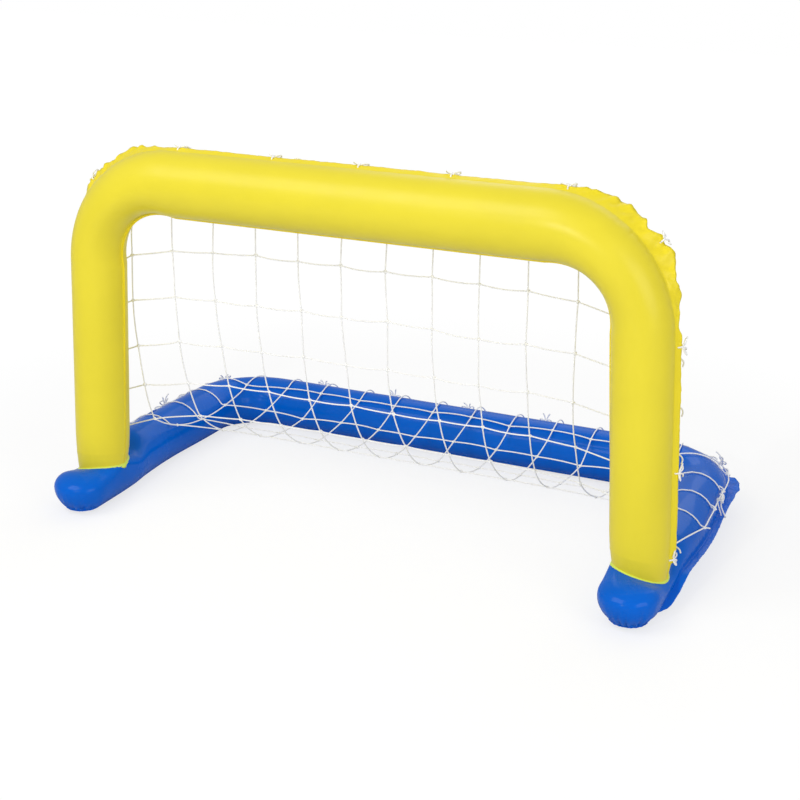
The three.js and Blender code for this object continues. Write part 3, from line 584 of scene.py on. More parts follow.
def add_to_scene(name, data):
    thing = bpy.data.objects.new(name, data)
    bpy.context.scene.collection.objects.link(thing)
    return thing


def make_object(name, parts, material, body, replaced=(), smooth_angle=None):
    """A mesh object from its parts, riding on a body and standing for CAD nodes."""
    mesh = parts.mesh(name, material)
    layer = mesh.uv_layers.new(name="sheet_run")
    for loop in mesh.loops:
        layer.data[loop.index].uv = parts.places[loop.vertex_index]
    bm = bmesh.new()
    bm.from_mesh(mesh)
    bmesh.ops.recalc_face_normals(bm, faces=bm.faces)
    bm.to_mesh(mesh)
    bm.free()
    mesh.polygons.foreach_set("use_smooth", [True] * len(mesh.polygons))
    if smooth_angle:
        mesh.set_sharp_from_angle(angle=smooth_angle)
    thing = add_to_scene(name, mesh)
    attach(thing, body)
    if replaced:
        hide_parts(*replaced)
    return thing


# Tube panels

ARC_STEPS = 34
ARC_EASE = 0.45
FLANGE_STEPS = 7
END_STEPS = 44
BEAD_STEPS = 120
RIM_EDGE = 0.001
CRIMP_RATE = 190
SWELL_RATE = 9
PUCKER_FADE = (-0.004, 0.006)
INNER_PUCKER_START = 0.035
END_FADE_TURN = 0.8 * math.pi

# Large and small folds of the flanges: their rate along the tube, their gain and their share off the bends
RUFFLE_RATES = (26, 60)
RUFFLE_GAINS = (1.7, 0.9)
RUFFLE_POWER = 0.8
STRAIGHT_RUFFLE_SHARE = 0.12
CRINKLE_RATES = (95, 150)
CRINKLE_GAINS = (2.2, 0.9)
CRINKLE_SLANTS = (1.3, -2.0)
CRINKLE_RUNS = (0.7, 2.5)
CRINKLE_POWER = 0.7
STRAIGHT_CRINKLE_SHARE = 0.08
FOLD_POWER = 1.6

# Shares of the way over the skin from weld to weld, closest together at the welds
ARC_SHARES = [
    lerp(step / ARC_STEPS, (1 - math.cos(math.pi * step / ARC_STEPS)) / 2, ARC_EASE)
    for step in range(ARC_STEPS + 1)
]

# Profile of a welded hem, from its inner to its outer edge: (share of its width, share of its height)
BEAD_PROFILE = [
    (-0.12, 0.1), (-0.1, 1.5), (0.12, 1.35), (0.4, 0.75), (0.8, 0.6), (1.0, 0.3), (0.97, -0.05), (0.4, -0.1),
]

# Waves in a hem's width round the post: (rate, place in the noise, gain)
BEAD_WAVES = [(2.5, 3.0, 0.25), (14, 5.0, 0.2)]


def ruffle(section, seed, height):
    """How far the flange's rim stands to the rear: folds at the bends, a slight wave elsewhere."""
    wave, fine = (
        noise.noise(Vector((section.run * rate, seed, place)))
        for rate, place in zip(RUFFLE_RATES, (0.4, 7.1)))
    folded = RUFFLE_GAINS[0] * signed_power(wave, RUFFLE_POWER) + RUFFLE_GAINS[1] * fine
    return height * lerp(STRAIGHT_RUFFLE_SHARE, 1, section.bend) * folded


def crinkle(section, share, height):
    """Fine folds that run across a flange from its weld to its rim."""
    folded = 0.0
    for rate, slant, across, gain, place in zip(
            CRINKLE_RATES, CRINKLE_SLANTS, CRINKLE_RUNS, CRINKLE_GAINS, (2.2, 8.8)):
        folded += gain * noise.noise(Vector((section.run * rate + share * slant, share * across, place)))
    return height * lerp(STRAIGHT_CRINKLE_SHARE, 1, section.bend) * share ** CRINKLE_POWER * folded


def flange_row(section, flange, width, sign, crimp, crinkled):
    """Points over a flange with their distance from the weld: from its rim to the weld."""
    weld, way, normal = flange
    points = []
    for index in range(-1, FLANGE_STEPS):
        share = 1 - max(index, 0) / FLANGE_STEPS
        fold = section.lift * share ** FOLD_POWER + crinkle(section, share, crinkled) if crinkled else 0.0
        thickness = sign * SHEET if index >= 0 else 0.0
        distance = share * width + crimp * share ** 2
        place = share * width + (RIM_EDGE if index < 0 else 0.0)
        points.append((combine(weld, (way, distance), (normal, fold + thickness)), place))
    return points


def panel_row(section, sign, puckers, settings, turn=0.0):
    """Points of one row over a panel with their texture places: from the outer rim to the inner rim."""
    swept = section.turned(turn)
    run = section.run - section.side * abs(turn) * section.radius
    near_outer, near_inner = (nearby(row, run) for row in puckers)
    outer_gain = 1 - smooth(abs(turn), END_FADE_TURN, math.pi)
    inner_gain = smooth(min(section.run, settings["length"] - section.run), 0.0, INNER_PUCKER_START)
    crimp = settings["crimp"] * noise.noise(Vector((run * CRIMP_RATE, 3.3, 0.0))) * outer_gain
    flange = (swept.weld, swept.way, swept.normal)
    row = [(point, (run, -place)) for point, place in flange_row(
        swept, flange, swept.flange, sign, crimp, settings["crinkle"])]
    start = -section.outer_drop
    stop = math.pi + section.inner_drop - (2 * math.pi if sign < 0 else 0)
    whole = section.radius * abs(stop - start)
    for share in ARC_SHARES:
        angle = lerp(start, stop, share)
        distance = whole * share
        from_inner = whole - distance
        drawn = pucker_depth(near_outer, run, distance) * outer_gain
        drawn += pucker_depth(near_inner, run, from_inner) * inner_gain
        drawn *= smooth(min(distance, from_inner), *PUCKER_FADE)
        swell = noise.noise(swept.skin_point(angle) * SWELL_RATE) * math.sin(math.pi * share)
        grow = settings["swell"] * swell - drawn if 0 < share < 1 else 0.0
        row.append((swept.skin_point(angle, grow), (run, distance)))
    ending = flange_row(section, section.inner_flange(), section.inner_width, sign, 0.0, 0.0)
    row += [(point, (run, -place)) for point, place in reversed(ending)]
    return row


def panel_parts(sections, sign, puckers, settings, floor=None, rounded=False, settle=None):
    """A whole panel: half of the tube's skin with its half of the weld flanges."""
    parts = MeshParts()
    settings = dict(settings, length=sections[-1].run)

    def add_row(points, section):
        row = []
        for point, place in points:
            if settle:
                point = settle(point, section)
            if floor is not None:
                point = Vector((point.x, point.y, max(point.z, floor)))
            row.append(parts.add_point(point, place))
        return row

    rows = [add_row(panel_row(section, sign, puckers, settings), section) for section in sections]
    for row, next_row in zip(rows, rows[1:]):
        parts.add_strip(row, next_row)
    if rounded:
        middle = 1 + FLANGE_STEPS + ARC_STEPS // 2
        for section, row, way in ((sections[0], rows[0], 1), (sections[-1], rows[-1], -1)):
            before = row[:middle + 1]
            for step in range(1, END_STEPS):
                turn = way * math.pi * step / END_STEPS
                fan = add_row(panel_row(section, sign, puckers, settings, turn)[:middle], section)
                fan.append(row[middle])
                parts.add_strip(before, fan)
                before = fan
            parts.add_strip(before, row[:middle - 1:-1])
    return parts


def settled_on_base(point, section):
    """Moves a point of the ankle along the post, so that the sheet starts where it meets the base."""
    foot, post_up, _ = post_axes(section.side)
    reach = (section.at - foot).dot(post_up)
    if section.bend or reach >= ANKLE_LENGTH:
        return point
    start = point + post_up * (ANKLE_SHEET_START - reach)
    share = (ANKLE_LENGTH - reach) / (ANKLE_LENGTH - ANKLE_SHEET_START)
    return point + post_up * weld_rise(start, post_up) * share


def weld_bead_parts(side):
    """The welded hem of a post's bottom: a thin rim that lies out on the base tube's upper sheet."""
    parts = MeshParts()
    foot, post_up, post_out = post_axes(side)
    ankle = post_radius(ANKLE_SHEET_START)
    rings = []
    for angle in round_angles(BEAD_STEPS):
        cosine, sine = math.cos(angle), math.sin(angle)
        width = WELD_BEAD_WIDTH
        for rate, place, gain in BEAD_WAVES:
            wave = noise.noise(Vector((cosine * rate, sine * rate, side * place)))
            width += WELD_BEAD_WIDTH * gain * wave
        ring = []
        for across, height in BEAD_PROFILE:
            point = combine(foot, (post_out * cosine + Y_AXIS * sine, ankle + across * width))
            point += post_up * weld_rise(point, post_up)
            point.z += height * WELD_BEAD_HEIGHT
            ring.append(parts.add_point(point, (angle * ankle, -across * width)))
        rings.append(ring)
    parts.add_tube(rings, joined=True)
    return parts


# Materials

WELD_EDGE = -0.0002
STREAK_SCALE = (6.0, 150.0, 1.0)
CLOUD_RANGE = (0.3, 0.62)
HAZE_RANGE = (0.3, 0.7)
HAZE_ROUGHNESS = (-0.04, 0.05)
RIB_HEIGHT = 1.2
COAT_ROUGHNESS = 0.03

# Gains of red, green and blue on the welded flanges, where two sheets lie on each other: painted light, the
# flanges coloured lighter as if light shone through the thin sheet
YELLOW_FLANGE_GLOW_GAINS = (1.06, 1.03, 0.6)
BLUE_FLANGE_GLOW_GAINS = (1.0, 1.1, 1.08)

# Finishes of the vinyl: the darker clouds' share of the colour, its gloss and the strength of its grain
YELLOW_FINISH = {"shade": 0.965, "specular": 0.3, "coat": 0.0, "grain": 0.18}
BLUE_FINISH = {"shade": 0.9, "specular": 0.05, "coat": 0.2, "grain": 0.1}
WELD_FINISH = {"shade": 0.9, "specular": 0.3, "coat": 0.0, "grain": 0.3}

# Cords: the share of the colour kept in the grooves, where shade is painted, and the length of one turn of
# the plies
NET_GROOVE_SHADE_SHARE, NET_LAY_LENGTH = 0.6, 0.007
TIE_GROOVE_SHADE_SHARE, TIE_LAY_LENGTH = 0.7, 0.006
CLEAR_COLOUR = [0.84, 0.86, 0.87, 1.0]
CLEAR_SHADE = 0.9


def set_inputs(node, values):
    """Gives a node's inputs their values and incoming links."""
    for name, value in values.items():
        if isinstance(value, bpy.types.NodeSocket):
            node.id_data.links.new(value, node.inputs[name])
        else:
            node.inputs[name].default_value = value


def new_node(tree, kind, inputs=None, **settings):
    """A node with its settings, its values and its incoming links."""
    node = tree.nodes.new(kind)
    for name, value in settings.items():
        setattr(node, name, value)
    set_inputs(node, inputs or {})
    return node


def math_node(tree, operation, first, second=0.0):
    return new_node(tree, "ShaderNodeMath", {0: first, 1: second}, operation=operation).outputs[0]


def noise_node(tree, place, scale, detail=2.0):
    inputs = {"Vector": place, "Scale": scale, "Detail": detail}
    return new_node(tree, "ShaderNodeTexNoise", inputs).outputs["Fac"]


def range_node(tree, value, low=0.0, high=1.0, to_low=0.0, to_high=1.0):
    inputs = {"Value": value, "From Min": low, "From Max": high, "To Min": to_low, "To Max": to_high}
    return new_node(tree, "ShaderNodeMapRange", inputs).outputs[0]


def mix_node(tree, share, first, second):
    return new_node(tree, "ShaderNodeMix", {0: share, 6: first, 7: second}, data_type="RGBA").outputs[2]


def ramp_node(tree, value, low_colour, high_colour, low=0.0, high=1.0):
    node = new_node(tree, "ShaderNodeValToRGB", {"Fac": value})
    for index, (position, colour) in enumerate(((low, low_colour), (high, high_colour))):
        element = node.color_ramp.elements[index]
        element.position, element.color = position, colour
    return node.outputs["Color"]


def bump_node(tree, height, strength, distance):
    inputs = {"Height": height, "Strength": strength, "Distance": distance}
    return new_node(tree, "ShaderNodeBump", inputs).outputs[0]


def object_place(tree):
    return new_node(tree, "ShaderNodeTexCoord").outputs["Object"]


def run_place(tree):
    """The texture place: x along the tube or cord, y across it."""
    return new_node(tree, "ShaderNodeUVMap", uv_map="sheet_run").outputs["UV"]


def once(kept, name, make, *values):
    """The group or material of a name, made when it is first asked for."""
    return kept.get(name) or make(name, *values)


def new_group(name, inputs, outputs):
    """A shader node group with float inputs {name: default} and float outputs."""
    tree = bpy.data.node_groups.new(name, "ShaderNodeTree")
    for socket_name, default in inputs.items():
        socket = tree.interface.new_socket(socket_name, in_out="INPUT", socket_type="NodeSocketFloat")
        socket.default_value = default
    for socket_name in outputs:
        tree.interface.new_socket(socket_name, in_out="OUTPUT", socket_type="NodeSocketFloat")
    return tree, tree.nodes.new("NodeGroupInput").outputs, tree.nodes.new("NodeGroupOutput")


def group_node(tree, name, make, inputs=None):
    group = once(bpy.data.node_groups, name, make)
    return new_node(tree, "ShaderNodeGroup", inputs, node_tree=group).outputs


def new_material(name):
    material = bpy.data.materials.new(name)
    material.use_nodes = True
    tree = material.node_tree
    return material, tree, tree.nodes["Principled BSDF"]


def sheet_grain_group(name):
    """Calendered vinyl: a fine grain, faint stretch streaks along the tube and clouds."""
    tree, given, result = new_group(
        name, {"Grain Scale": 900.0, "Streak Depth": 0.35}, ("Height", "Clouds", "Haze"))
    place = object_place(tree)
    grain = noise_node(tree, place, given["Grain Scale"])
    stretched = new_node(tree, "ShaderNodeMapping", {"Vector": run_place(tree), "Scale": STREAK_SCALE})
    streaks = noise_node(tree, stretched.outputs[0], 1.0, 3.0)
    set_inputs(result, {
        "Height": math_node(tree, "ADD", grain, math_node(tree, "MULTIPLY", streaks, given["Streak Depth"])),
        "Clouds": noise_node(tree, place, 9.0, 3.0),
        "Haze": noise_node(tree, place, 42.0, 4.0),
    })
    return tree


def weld_print_group(name):
    """The welded flange: a mask of the flange and the fine ribs that the welding tool leaves."""
    tree, given, result = new_group(name, {"Rib Spacing": 0.0016}, ("Flange", "Ribs"))
    split = new_node(tree, "ShaderNodeSeparateXYZ", {0: run_place(tree)}).outputs
    flange = math_node(tree, "LESS_THAN", split["Y"], WELD_EDGE)
    waves = []
    for way in ("Y", "X"):
        turns = math_node(tree, "DIVIDE", split[way], given["Rib Spacing"])
        waves.append(math_node(tree, "SINE", math_node(tree, "MULTIPLY", turns, 2 * math.pi)))
    ribs = math_node(tree, "MULTIPLY", math_node(tree, "ADD", *waves), flange)
    set_inputs(result, {"Flange": flange, "Ribs": ribs})
    return tree


def cord_twist_group(name):
    """Three plies laid round each other: their height and a mask for the shade painted in the grooves between
    them.
    """
    tree, given, result = new_group(name, {"Lay Length": 0.008, "Plies": 3.0}, ("Height", "Groove"))
    split = new_node(tree, "ShaderNodeSeparateXYZ", {0: run_place(tree)}).outputs
    turns = math_node(tree, "DIVIDE", split["X"], given["Lay Length"])
    turned = math_node(tree, "ADD", turns, split["Y"])
    angle = math_node(tree, "MULTIPLY", math_node(tree, "MULTIPLY", turned, given["Plies"]), math.pi)
    ply = math_node(tree, "ABSOLUTE", math_node(tree, "SINE", angle))
    fuzz = math_node(tree, "MULTIPLY", noise_node(tree, object_place(tree), 2600.0), 0.35)
    set_inputs(result, {
        "Height": math_node(tree, "ADD", ply, fuzz),
        "Groove": math_node(tree, "POWER", math_node(tree, "SUBTRACT", 1.0, ply), 3.0),
    })
    return tree


def vinyl_material(name, colour, flange_glow_colour, roughness, finish):
    """Coloured vinyl sheet with grain, streaks, clouded colour, and welded flanges painted lighter as if
    light shone through them.
    """
    material, tree, shader = new_material(name)
    grain = group_node(tree, "sheet_grain", sheet_grain_group)
    weld = group_node(tree, "weld_print", weld_print_group)
    clouded = ramp_node(tree, grain["Clouds"], darker(colour, finish["shade"]), colour, *CLOUD_RANGE)
    roughness_range = [roughness + change for change in HAZE_ROUGHNESS]
    ribs = math_node(tree, "MULTIPLY", weld["Ribs"], RIB_HEIGHT)
    height = math_node(tree, "ADD", grain["Height"], ribs)
    set_inputs(shader, {
        # painted light: the flanges are coloured lighter, as if light shone through the thin sheet
        "Base Color": mix_node(tree, weld["Flange"], clouded, flange_glow_colour),
        "Roughness": range_node(tree, grain["Haze"], *HAZE_RANGE, *roughness_range),
        "Normal": bump_node(tree, height, finish["grain"], 0.0001),
        "Specular IOR Level": finish["specular"],
        "Coat Weight": finish["coat"],
        "Coat Roughness": COAT_ROUGHNESS,
    })
    return material


def cord_material(name, colour, groove_shade_share, lay_length):
    """Twisted white cord, with shade painted darker between its plies."""
    material, tree, shader = new_material(name)
    twist = group_node(tree, "cord_twist", cord_twist_group, {"Lay Length": lay_length})
    set_inputs(shader, {
        # painted shade: the cord is darkened in the grooves between its plies, where shade falls
        "Base Color": mix_node(tree, twist["Groove"], colour, darker(colour, groove_shade_share)),
        "Normal": bump_node(tree, twist["Height"], 0.6, 0.0003),
        "Roughness": 0.62,
        "Sheen Weight": 0.25,
        "Sheen Roughness": 0.4,
    })
    return material


def clear_material(name, colour):
    """Milky clear vinyl of the valves' moving pieces."""
    material, tree, shader = new_material(name)
    haze = noise_node(tree, object_place(tree), 320.0, 3.0)
    set_inputs(shader, {
        "Base Color": ramp_node(tree, haze, darker(colour, CLEAR_SHADE), colour),
        "Roughness": range_node(tree, haze, to_low=0.24, to_high=0.4),
        "Normal": bump_node(tree, haze, 0.15, 0.0001),
        "Transmission Weight": 0.35,
    })
    return material


def opaque(colour):
    return [*colour[:3], 1.0]


def tinted(colour, gains):
    """A colour with its red, green and blue each times its gain."""
    return opaque([min(value * gain, 1) for value, gain in zip(colour, gains)])


def darker(colour, share):
    return tinted(colour, [share] * 3)


def sheet_vinyl(name, colour, gains, roughness, finish):
    colour = opaque(colour)
    # The flange colour is painted light: the sheet's colour lifted as if light shone through the thin flange
    values = (colour, tinted(colour, gains), roughness, finish)
    return once(bpy.data.materials, name, vinyl_material, *values)


def yellow_vinyl():
    chosen = bpy.context.scene.goal_frame
    return sheet_vinyl("yellow_vinyl", chosen.colour, YELLOW_FLANGE_GLOW_GAINS, chosen.roughness, YELLOW_FINISH)


def blue_vinyl():
    chosen = bpy.context.scene.goal_base
    return sheet_vinyl("blue_vinyl", chosen.colour, BLUE_FLANGE_GLOW_GAINS, chosen.roughness, BLUE_FINISH)


def weld_vinyl():
    """Yellow sheet welded on blue: greener than the rest, its own colour, and lighter as a painted highlight
    along the weld line.
    """
    chosen = bpy.context.scene.goal_frame
    return sheet_vinyl("weld_vinyl", chosen.weld_colour_with_highlight, (1, 1, 1), chosen.roughness, WELD_FINISH)


def net_cord():
    # painted shade: the net's cord is white, and its grey colour stands for the shade the net hangs in
    colour = opaque(bpy.context.scene.goal_net.colour)
    return once(bpy.data.materials, "net_cord", cord_material, colour, NET_GROOVE_SHADE_SHARE, NET_LAY_LENGTH)


def tie_cord():
    colour = opaque(bpy.context.scene.goal_ties.colour)
    return once(bpy.data.materials, "tie_cord", cord_material, colour, TIE_GROOVE_SHADE_SHARE, TIE_LAY_LENGTH)


def clear_vinyl():
    return once(bpy.data.materials, "clear_vinyl", clear_material, CLEAR_COLOUR)


# Cords

# The rounding of a cord's two ends: (distance past the end, width), as shares of the cord's radius
CORD_START = [(0.8, 0.35), (0.5, 0.8)]
CORD_END = [(0.5, 0.85), (0.9, 0.4)]


def eased_line(points, steps, closed=False):
    """A smooth line through a few points (Catmull-Rom)."""
    count = len(points)
    line = []
    spans = count if closed else count - 1
    for index in range(spans):
        if closed:
            p0, p1, p2, p3 = (points[(index + k) % count] for k in (-1, 0, 1, 2))
        else:
            p1, p2 = points[index], points[index + 1]
            p0 = points[index - 1] if index else p1 * 2 - p2
            p3 = points[index + 2] if index + 2 < count else p2 * 2 - p1
        for step in range(steps):
            t = step / steps
            line.append(
                0.5 * (2 * p1 + (p2 - p0) * t + (2 * p0 - 5 * p1 + 4 * p2 - p3) * t * t
                       + (3 * p1 - p0 - 3 * p2 + p3) * t ** 3))
    if not closed:
        line.append(points[-1].copy())
    return line


def add_cord(parts, line, radius, sides=8, closed=False, flare=0.0):
    """A round cord along a line, with rounded ends, added to a mesh in the making."""
    count = len(line)
    stations = []
    for index, point in enumerate(line):
        if closed:
            ahead, behind = line[(index + 1) % count], line[index - 1]
        else:
            ahead, behind = line[min(index + 1, count - 1)], line[max(index - 1, 0)]
        stations.append((point, (ahead - behind).normalized(), radius))
    across = stations[0][1].orthogonal().normalized()
    if not closed:
        start, start_way, _ = stations[0]
        end, end_way, _ = stations[-1]
        stations = (
            [(start - start_way * radius * reach, start_way, radius * width) for reach, width in CORD_START]
            + stations
            + [(end + end_way * radius * reach, end_way, radius * (width + flare))
               for reach, width in CORD_END]
        )
    rings = []
    run, before = 0.0, stations[0][0]
    for at, tangent, width in stations:
        across = (across - tangent * across.dot(tangent)).normalized()
        up = tangent.cross(across)
        run += (at - before).length
        before = at
        ring = []
        for angle in round_angles(sides):
            point = combine(at, (across, width * math.cos(angle)), (up, width * math.sin(angle)))
            ring.append(parts.add_point(point, (run, angle / (2 * math.pi))))
        rings.append(ring)
    parts.add_tube(rings, joined=closed)


# Places on the tubes

COARSE_UPRIGHT_STEPS = (0.055, 0.028)
COARSE_BASE_STEPS = (0.055, 0.024)
frame_line = upright_sections(*COARSE_UPRIGHT_STEPS)
base_line = base_sections(*COARSE_BASE_STEPS)


def between(first, second, share):
    """The section between two sections of a tube."""
    place = copy.copy(first)
    place.at = first.at.lerp(second.at, share)
    place.out = first.out.lerp(second.out, share).normalized()
    place.along = (second.at - first.at).normalized()
    for field in ("radius", "flange", "lean", "lift", "pressed", "run"):
        setattr(place, field, lerp(getattr(first, field), getattr(second, field), share))
    return place


def nearest_on(line, point):
    best = None
    for first, second in zip(line, line[1:]):
        span = second.at - first.at
        share = min(max((point - first.at).dot(span) / span.length_squared, 0), 1)
        distance = (first.at + span * share - point).length
        if best is None or distance < best[3]:
            best = (first, second, share, distance)
    place = between(*best[:3])
    place.distance = best[3]
    return place


def pushed_out(point, clearance):
    """Moves a point out of both tubes, to a clearance from their skins."""
    for line in (frame_line, base_line):
        near = nearest_on(line, point)
        if near.distance < near.radius + clearance:
            point = combine(near.at, ((point - near.at).normalized(), near.radius + clearance))
    return point


def route(points):
    """A line of points that can be read by the share of its length."""
    reach = [0.0]
    for before, after in zip(points, points[1:]):
        reach.append(reach[-1] + (after - before).length)

    def read(share):
        wanted = min(max(share, 0.0), 1.0) * reach[-1]
        index = 1
        while index < len(reach) - 1 and reach[index] < wanted:
            index += 1
        local = (wanted - reach[index - 1]) / (reach[index] - reach[index - 1])
        return points[index - 1].lerp(points[index], local)

    return read


def beside(section, angle, standoff):
    """A place outside the skin at an angle round the tube."""
    way = turned_pair(section.out, section.rear, angle)[0]
    return combine(section.at, (way, section.radius + standoff))


# Net

WRAP_STEPS = 12
HANG_STEPS = 48
STRAND_STEPS = 12
KNOT_WANDER = 0.006
LAID_WANDER = 0.003
LAID_WANDER_ROWS = (6, 9)
STRAND_SAG = 0.035
STRAND_SAG_SPREAD = 0.03
STRAND_SWAY = 0.03
SAG_ROW_STEP = 0.3
KNOT_REACH_SHARE = 1.45
KNOT_LENGTH_SHARE = 0.95
KNOT_WIDTH_SHARE = 0.8
KNOT_TWIST = 0.5
KNOT_SIZES = (0.95, 1.2)
TAIL_LENGTHS = (0.010, 0.018)


def bezier(points, share):
    rest = 1 - share
    weights = (rest ** 3, 3 * rest * rest * share, 3 * rest * share * share, share ** 3)
    total = Vector((0, 0, 0))
    for point, weight in zip(points, weights):
        total += point * weight
    return total


def middle_route():
    """The middle of the net: over the crossbar's rear, hanging free, then up over the back tube."""
    points = []
    seat = CORD_RADIUS * math.sqrt(2) + NET_CLEARANCE

    def wrap(centre_y, centre_z, start, stop):
        for step in range(WRAP_STEPS + 1):
            angle, distance = (lerp(first, last, step / WRAP_STEPS) for first, last in zip(start, stop))
            points.append(Vector((
                0, MOUTH_Y + centre_y + distance * math.cos(angle), centre_z + distance * math.sin(angle))))

    wrap(0, BAR_HEIGHT, (math.pi / 2 - FRAME_EDGE_ANGLE, BAR_RADIUS + NET_STANDOFF), (0, BAR_RADIUS + seat))
    tube_seat = BASE_TUBE_RADIUS + seat
    landing = Vector((
        0,
        MOUTH_Y + BASE_DEPTH - tube_seat * math.cos(LANDING_ANGLE),
        BASE_CENTRE_HEIGHT + tube_seat * math.sin(LANDING_ANGLE),
    ))
    rising = Vector((0, math.sin(LANDING_ANGLE), math.cos(LANDING_ANGLE)))
    hang = [
        points.pop(),
        Vector((0, MOUTH_Y + FALL_REACH_SHARE * BAR_RADIUS, FALL_HEIGHT_SHARE * BAR_HEIGHT)),
        combine(landing, (rising, -SAG_LENGTH_SHARE * BASE_DEPTH)),
        landing,
    ]
    points.extend(bezier(hang, step / HANG_STEPS) for step in range(HANG_STEPS))
    rear_end = (BASE_EDGE_ANGLE, BASE_TUBE_RADIUS + NET_STANDOFF)
    wrap(BASE_DEPTH, BASE_CENTRE_HEIGHT, (math.pi - LANDING_ANGLE, tube_seat), rear_end)
    return route(points)


def side_routes():
    """The net's side edge: down behind the post, and back along the side tube."""
    upright = [section for section in frame_line[:len(frame_line) // 2]
               if math.atan2(section.out.z, section.out.x) <= NET_CORNER_ANGLE + 1e-6
               and section.at.z > 2 * BASE_CENTRE_HEIGHT]
    upright.reverse()
    start = Vector((SIDE_TUBE_X, MOUTH_Y + LAID_EDGE_START, BASE_CENTRE_HEIGHT))
    laid = [section for section in base_line[:len(base_line) // 2]
            if section.at.y > MOUTH_Y + LAID_EDGE_START
            and math.atan2(section.out.y, section.out.x) <= LAID_END_ANGLE]
    laid.insert(0, nearest_on(base_line, start))
    return (
        route([beside(section, FRAME_EDGE_ANGLE, NET_STANDOFF) for section in upright]),
        route([beside(section, BASE_EDGE_ANGLE, NET_STANDOFF) for section in laid]),
    )


middle_at = middle_route()
upright_at, laid_at = side_routes()


def side_at(row):
    if row <= UPRIGHT_ROWS:
        return upright_at(row / UPRIGHT_ROWS)
    if row >= UPRIGHT_ROWS + 1:
        return laid_at((row - UPRIGHT_ROWS - 1) / (LAST_ROW - UPRIGHT_ROWS - 1))
    return upright_at(1).lerp(laid_at(0), row - UPRIGHT_ROWS)


def net_place(column, row, clearance):
    """A place on the net by column and row: the middle's shape, drawn to the side edge near the sides."""
    across = 2 * column / LAST_COLUMN - 1
    pull = abs(across) ** SIDE_PULL_POWER
    edge = side_at(row)
    point = middle_at(row / LAST_ROW).lerp(edge, pull)
    point.x = across * lerp(NET_HALF_WIDTH, edge.x, pull)
    if row == 0:
        return beside(nearest_on(frame_line, point), FRAME_EDGE_ANGLE, NET_STANDOFF)
    if row == LAST_ROW:
        return beside(nearest_on(base_line, point), BASE_EDGE_ANGLE, NET_STANDOFF)
    return pushed_out(point, clearance)


def knot_spot(column, row):
    """A knot's place: the net's surface with the small wander of hand-tied squares."""
    if 0 < row < LAST_ROW and 0 < column < LAST_COLUMN:
        seed = Vector((column * 1.7, row * 2.3, 0.5))
        wander = (KNOT_WANDER + LAID_WANDER * smooth(row, *LAID_WANDER_ROWS)) / MESH_SIZE
        column += noise.noise(seed) * wander
        row += noise.noise(seed + Vector((9, 4, 2))) * wander
    return net_place(column, row, KNOT_STANDOFF)


def strand_line(knots, start, stop):
    """The line of one mesh side between two knots: on the net's surface, with a little slack."""
    first, last = knots[start], knots[stop]
    ideal_start, ideal_stop = (net_place(*end, CORD_RADIUS + NET_CLEARANCE) for end in (start, stop))
    line = []
    length = (last - first).length
    level = start[1] == stop[1]
    free = 0 < start[1] < LAST_ROW or not level
    seed = Vector((start[0] * 3.1 + stop[0], start[1] * 1.9 + stop[1], 0.0))
    for step in range(STRAND_STEPS + 1):
        share = step / STRAND_STEPS
        column, row = (lerp(low, high, share) for low, high in zip(start, stop))
        ideal = net_place(column, row, CORD_RADIUS + NET_CLEARANCE)
        slack = length * 4 * share * (1 - share)
        point = first.lerp(last, share) + ideal - ideal_start.lerp(ideal_stop, share)
        if level and free:
            below = net_place(column, min(row + SAG_ROW_STEP, LAST_ROW), CORD_RADIUS) - ideal
            if below.length > 1e-6:
                sag = STRAND_SAG + STRAND_SAG_SPREAD * noise.noise(seed)
                point += below.normalized() * slack * sag
        elif not level:
            point += X_AXIS * slack * STRAND_SWAY * noise.noise(seed)
        line.append(pushed_out(point, CORD_RADIUS + STRAND_CLEARANCE))
    return line


def add_knot(parts, centre, across, down, radius):
    """A netting knot: one cord bent round the other and drawn tight."""
    normal = across.cross(down).normalized()
    length, width = (radius * KNOT_REACH_SHARE * share for share in (KNOT_LENGTH_SHARE, KNOT_WIDTH_SHARE))
    bent = [
        combine(
            centre,
            (across, length * math.cos(angle)),
            (down, width * math.sin(angle) * (1 + 0.25 * math.cos(angle))),
            (normal, radius * 0.75 * math.cos(2 * angle + 0.6)))
        for angle in round_angles(18)
    ]
    held = [
        combine(
            centre,
            (down, length * math.cos(angle)),
            (normal, width * math.sin(angle)),
            (across, radius * 0.2 * math.sin(2 * angle)))
        for angle in round_angles(12)
    ]
    add_cord(parts, bent, radius * 0.92, 7, closed=True)
    add_cord(parts, held, radius * 0.85, 6, closed=True)


def knot_directions(column, row, turn):
    """The directions across and down the net at a knot, turned in the net's surface."""
    right = net_place(min(column + KNOT_TURN_SHARE, LAST_COLUMN), row, KNOT_RADIUS)
    left = net_place(max(column - KNOT_TURN_SHARE, 0), row, KNOT_RADIUS)
    above = net_place(column, max(row - KNOT_TURN_SHARE, 0), KNOT_RADIUS)
    below = net_place(column, min(row + KNOT_TURN_SHARE, LAST_ROW), KNOT_RADIUS)
    across = (right - left).normalized()
    down = below - above
    return turned_pair(across, (down - across * down.dot(across)).normalized(), turn)


def net_parts():
    parts = MeshParts()
    knots = {(column, row): knot_spot(column, row)
             for row in range(ROW_COUNT) for column in range(COLUMN_COUNT)}
    draw = random.Random(21)
    for (column, row), centre in knots.items():
        across, down = knot_directions(column, row, draw.uniform(-KNOT_TWIST, KNOT_TWIST))
        add_knot(parts, centre, across, down, KNOT_RADIUS * draw.uniform(*KNOT_SIZES))
        for neighbour in ((column + 1, row), (column, row + 1)):
            if neighbour in knots:
                add_cord(parts, strand_line(knots, (column, row), neighbour), CORD_RADIUS)
        if column in (0, LAST_COLUMN) or row in (0, LAST_ROW):
            add_tail(parts, centre, across, down, draw)
    return parts


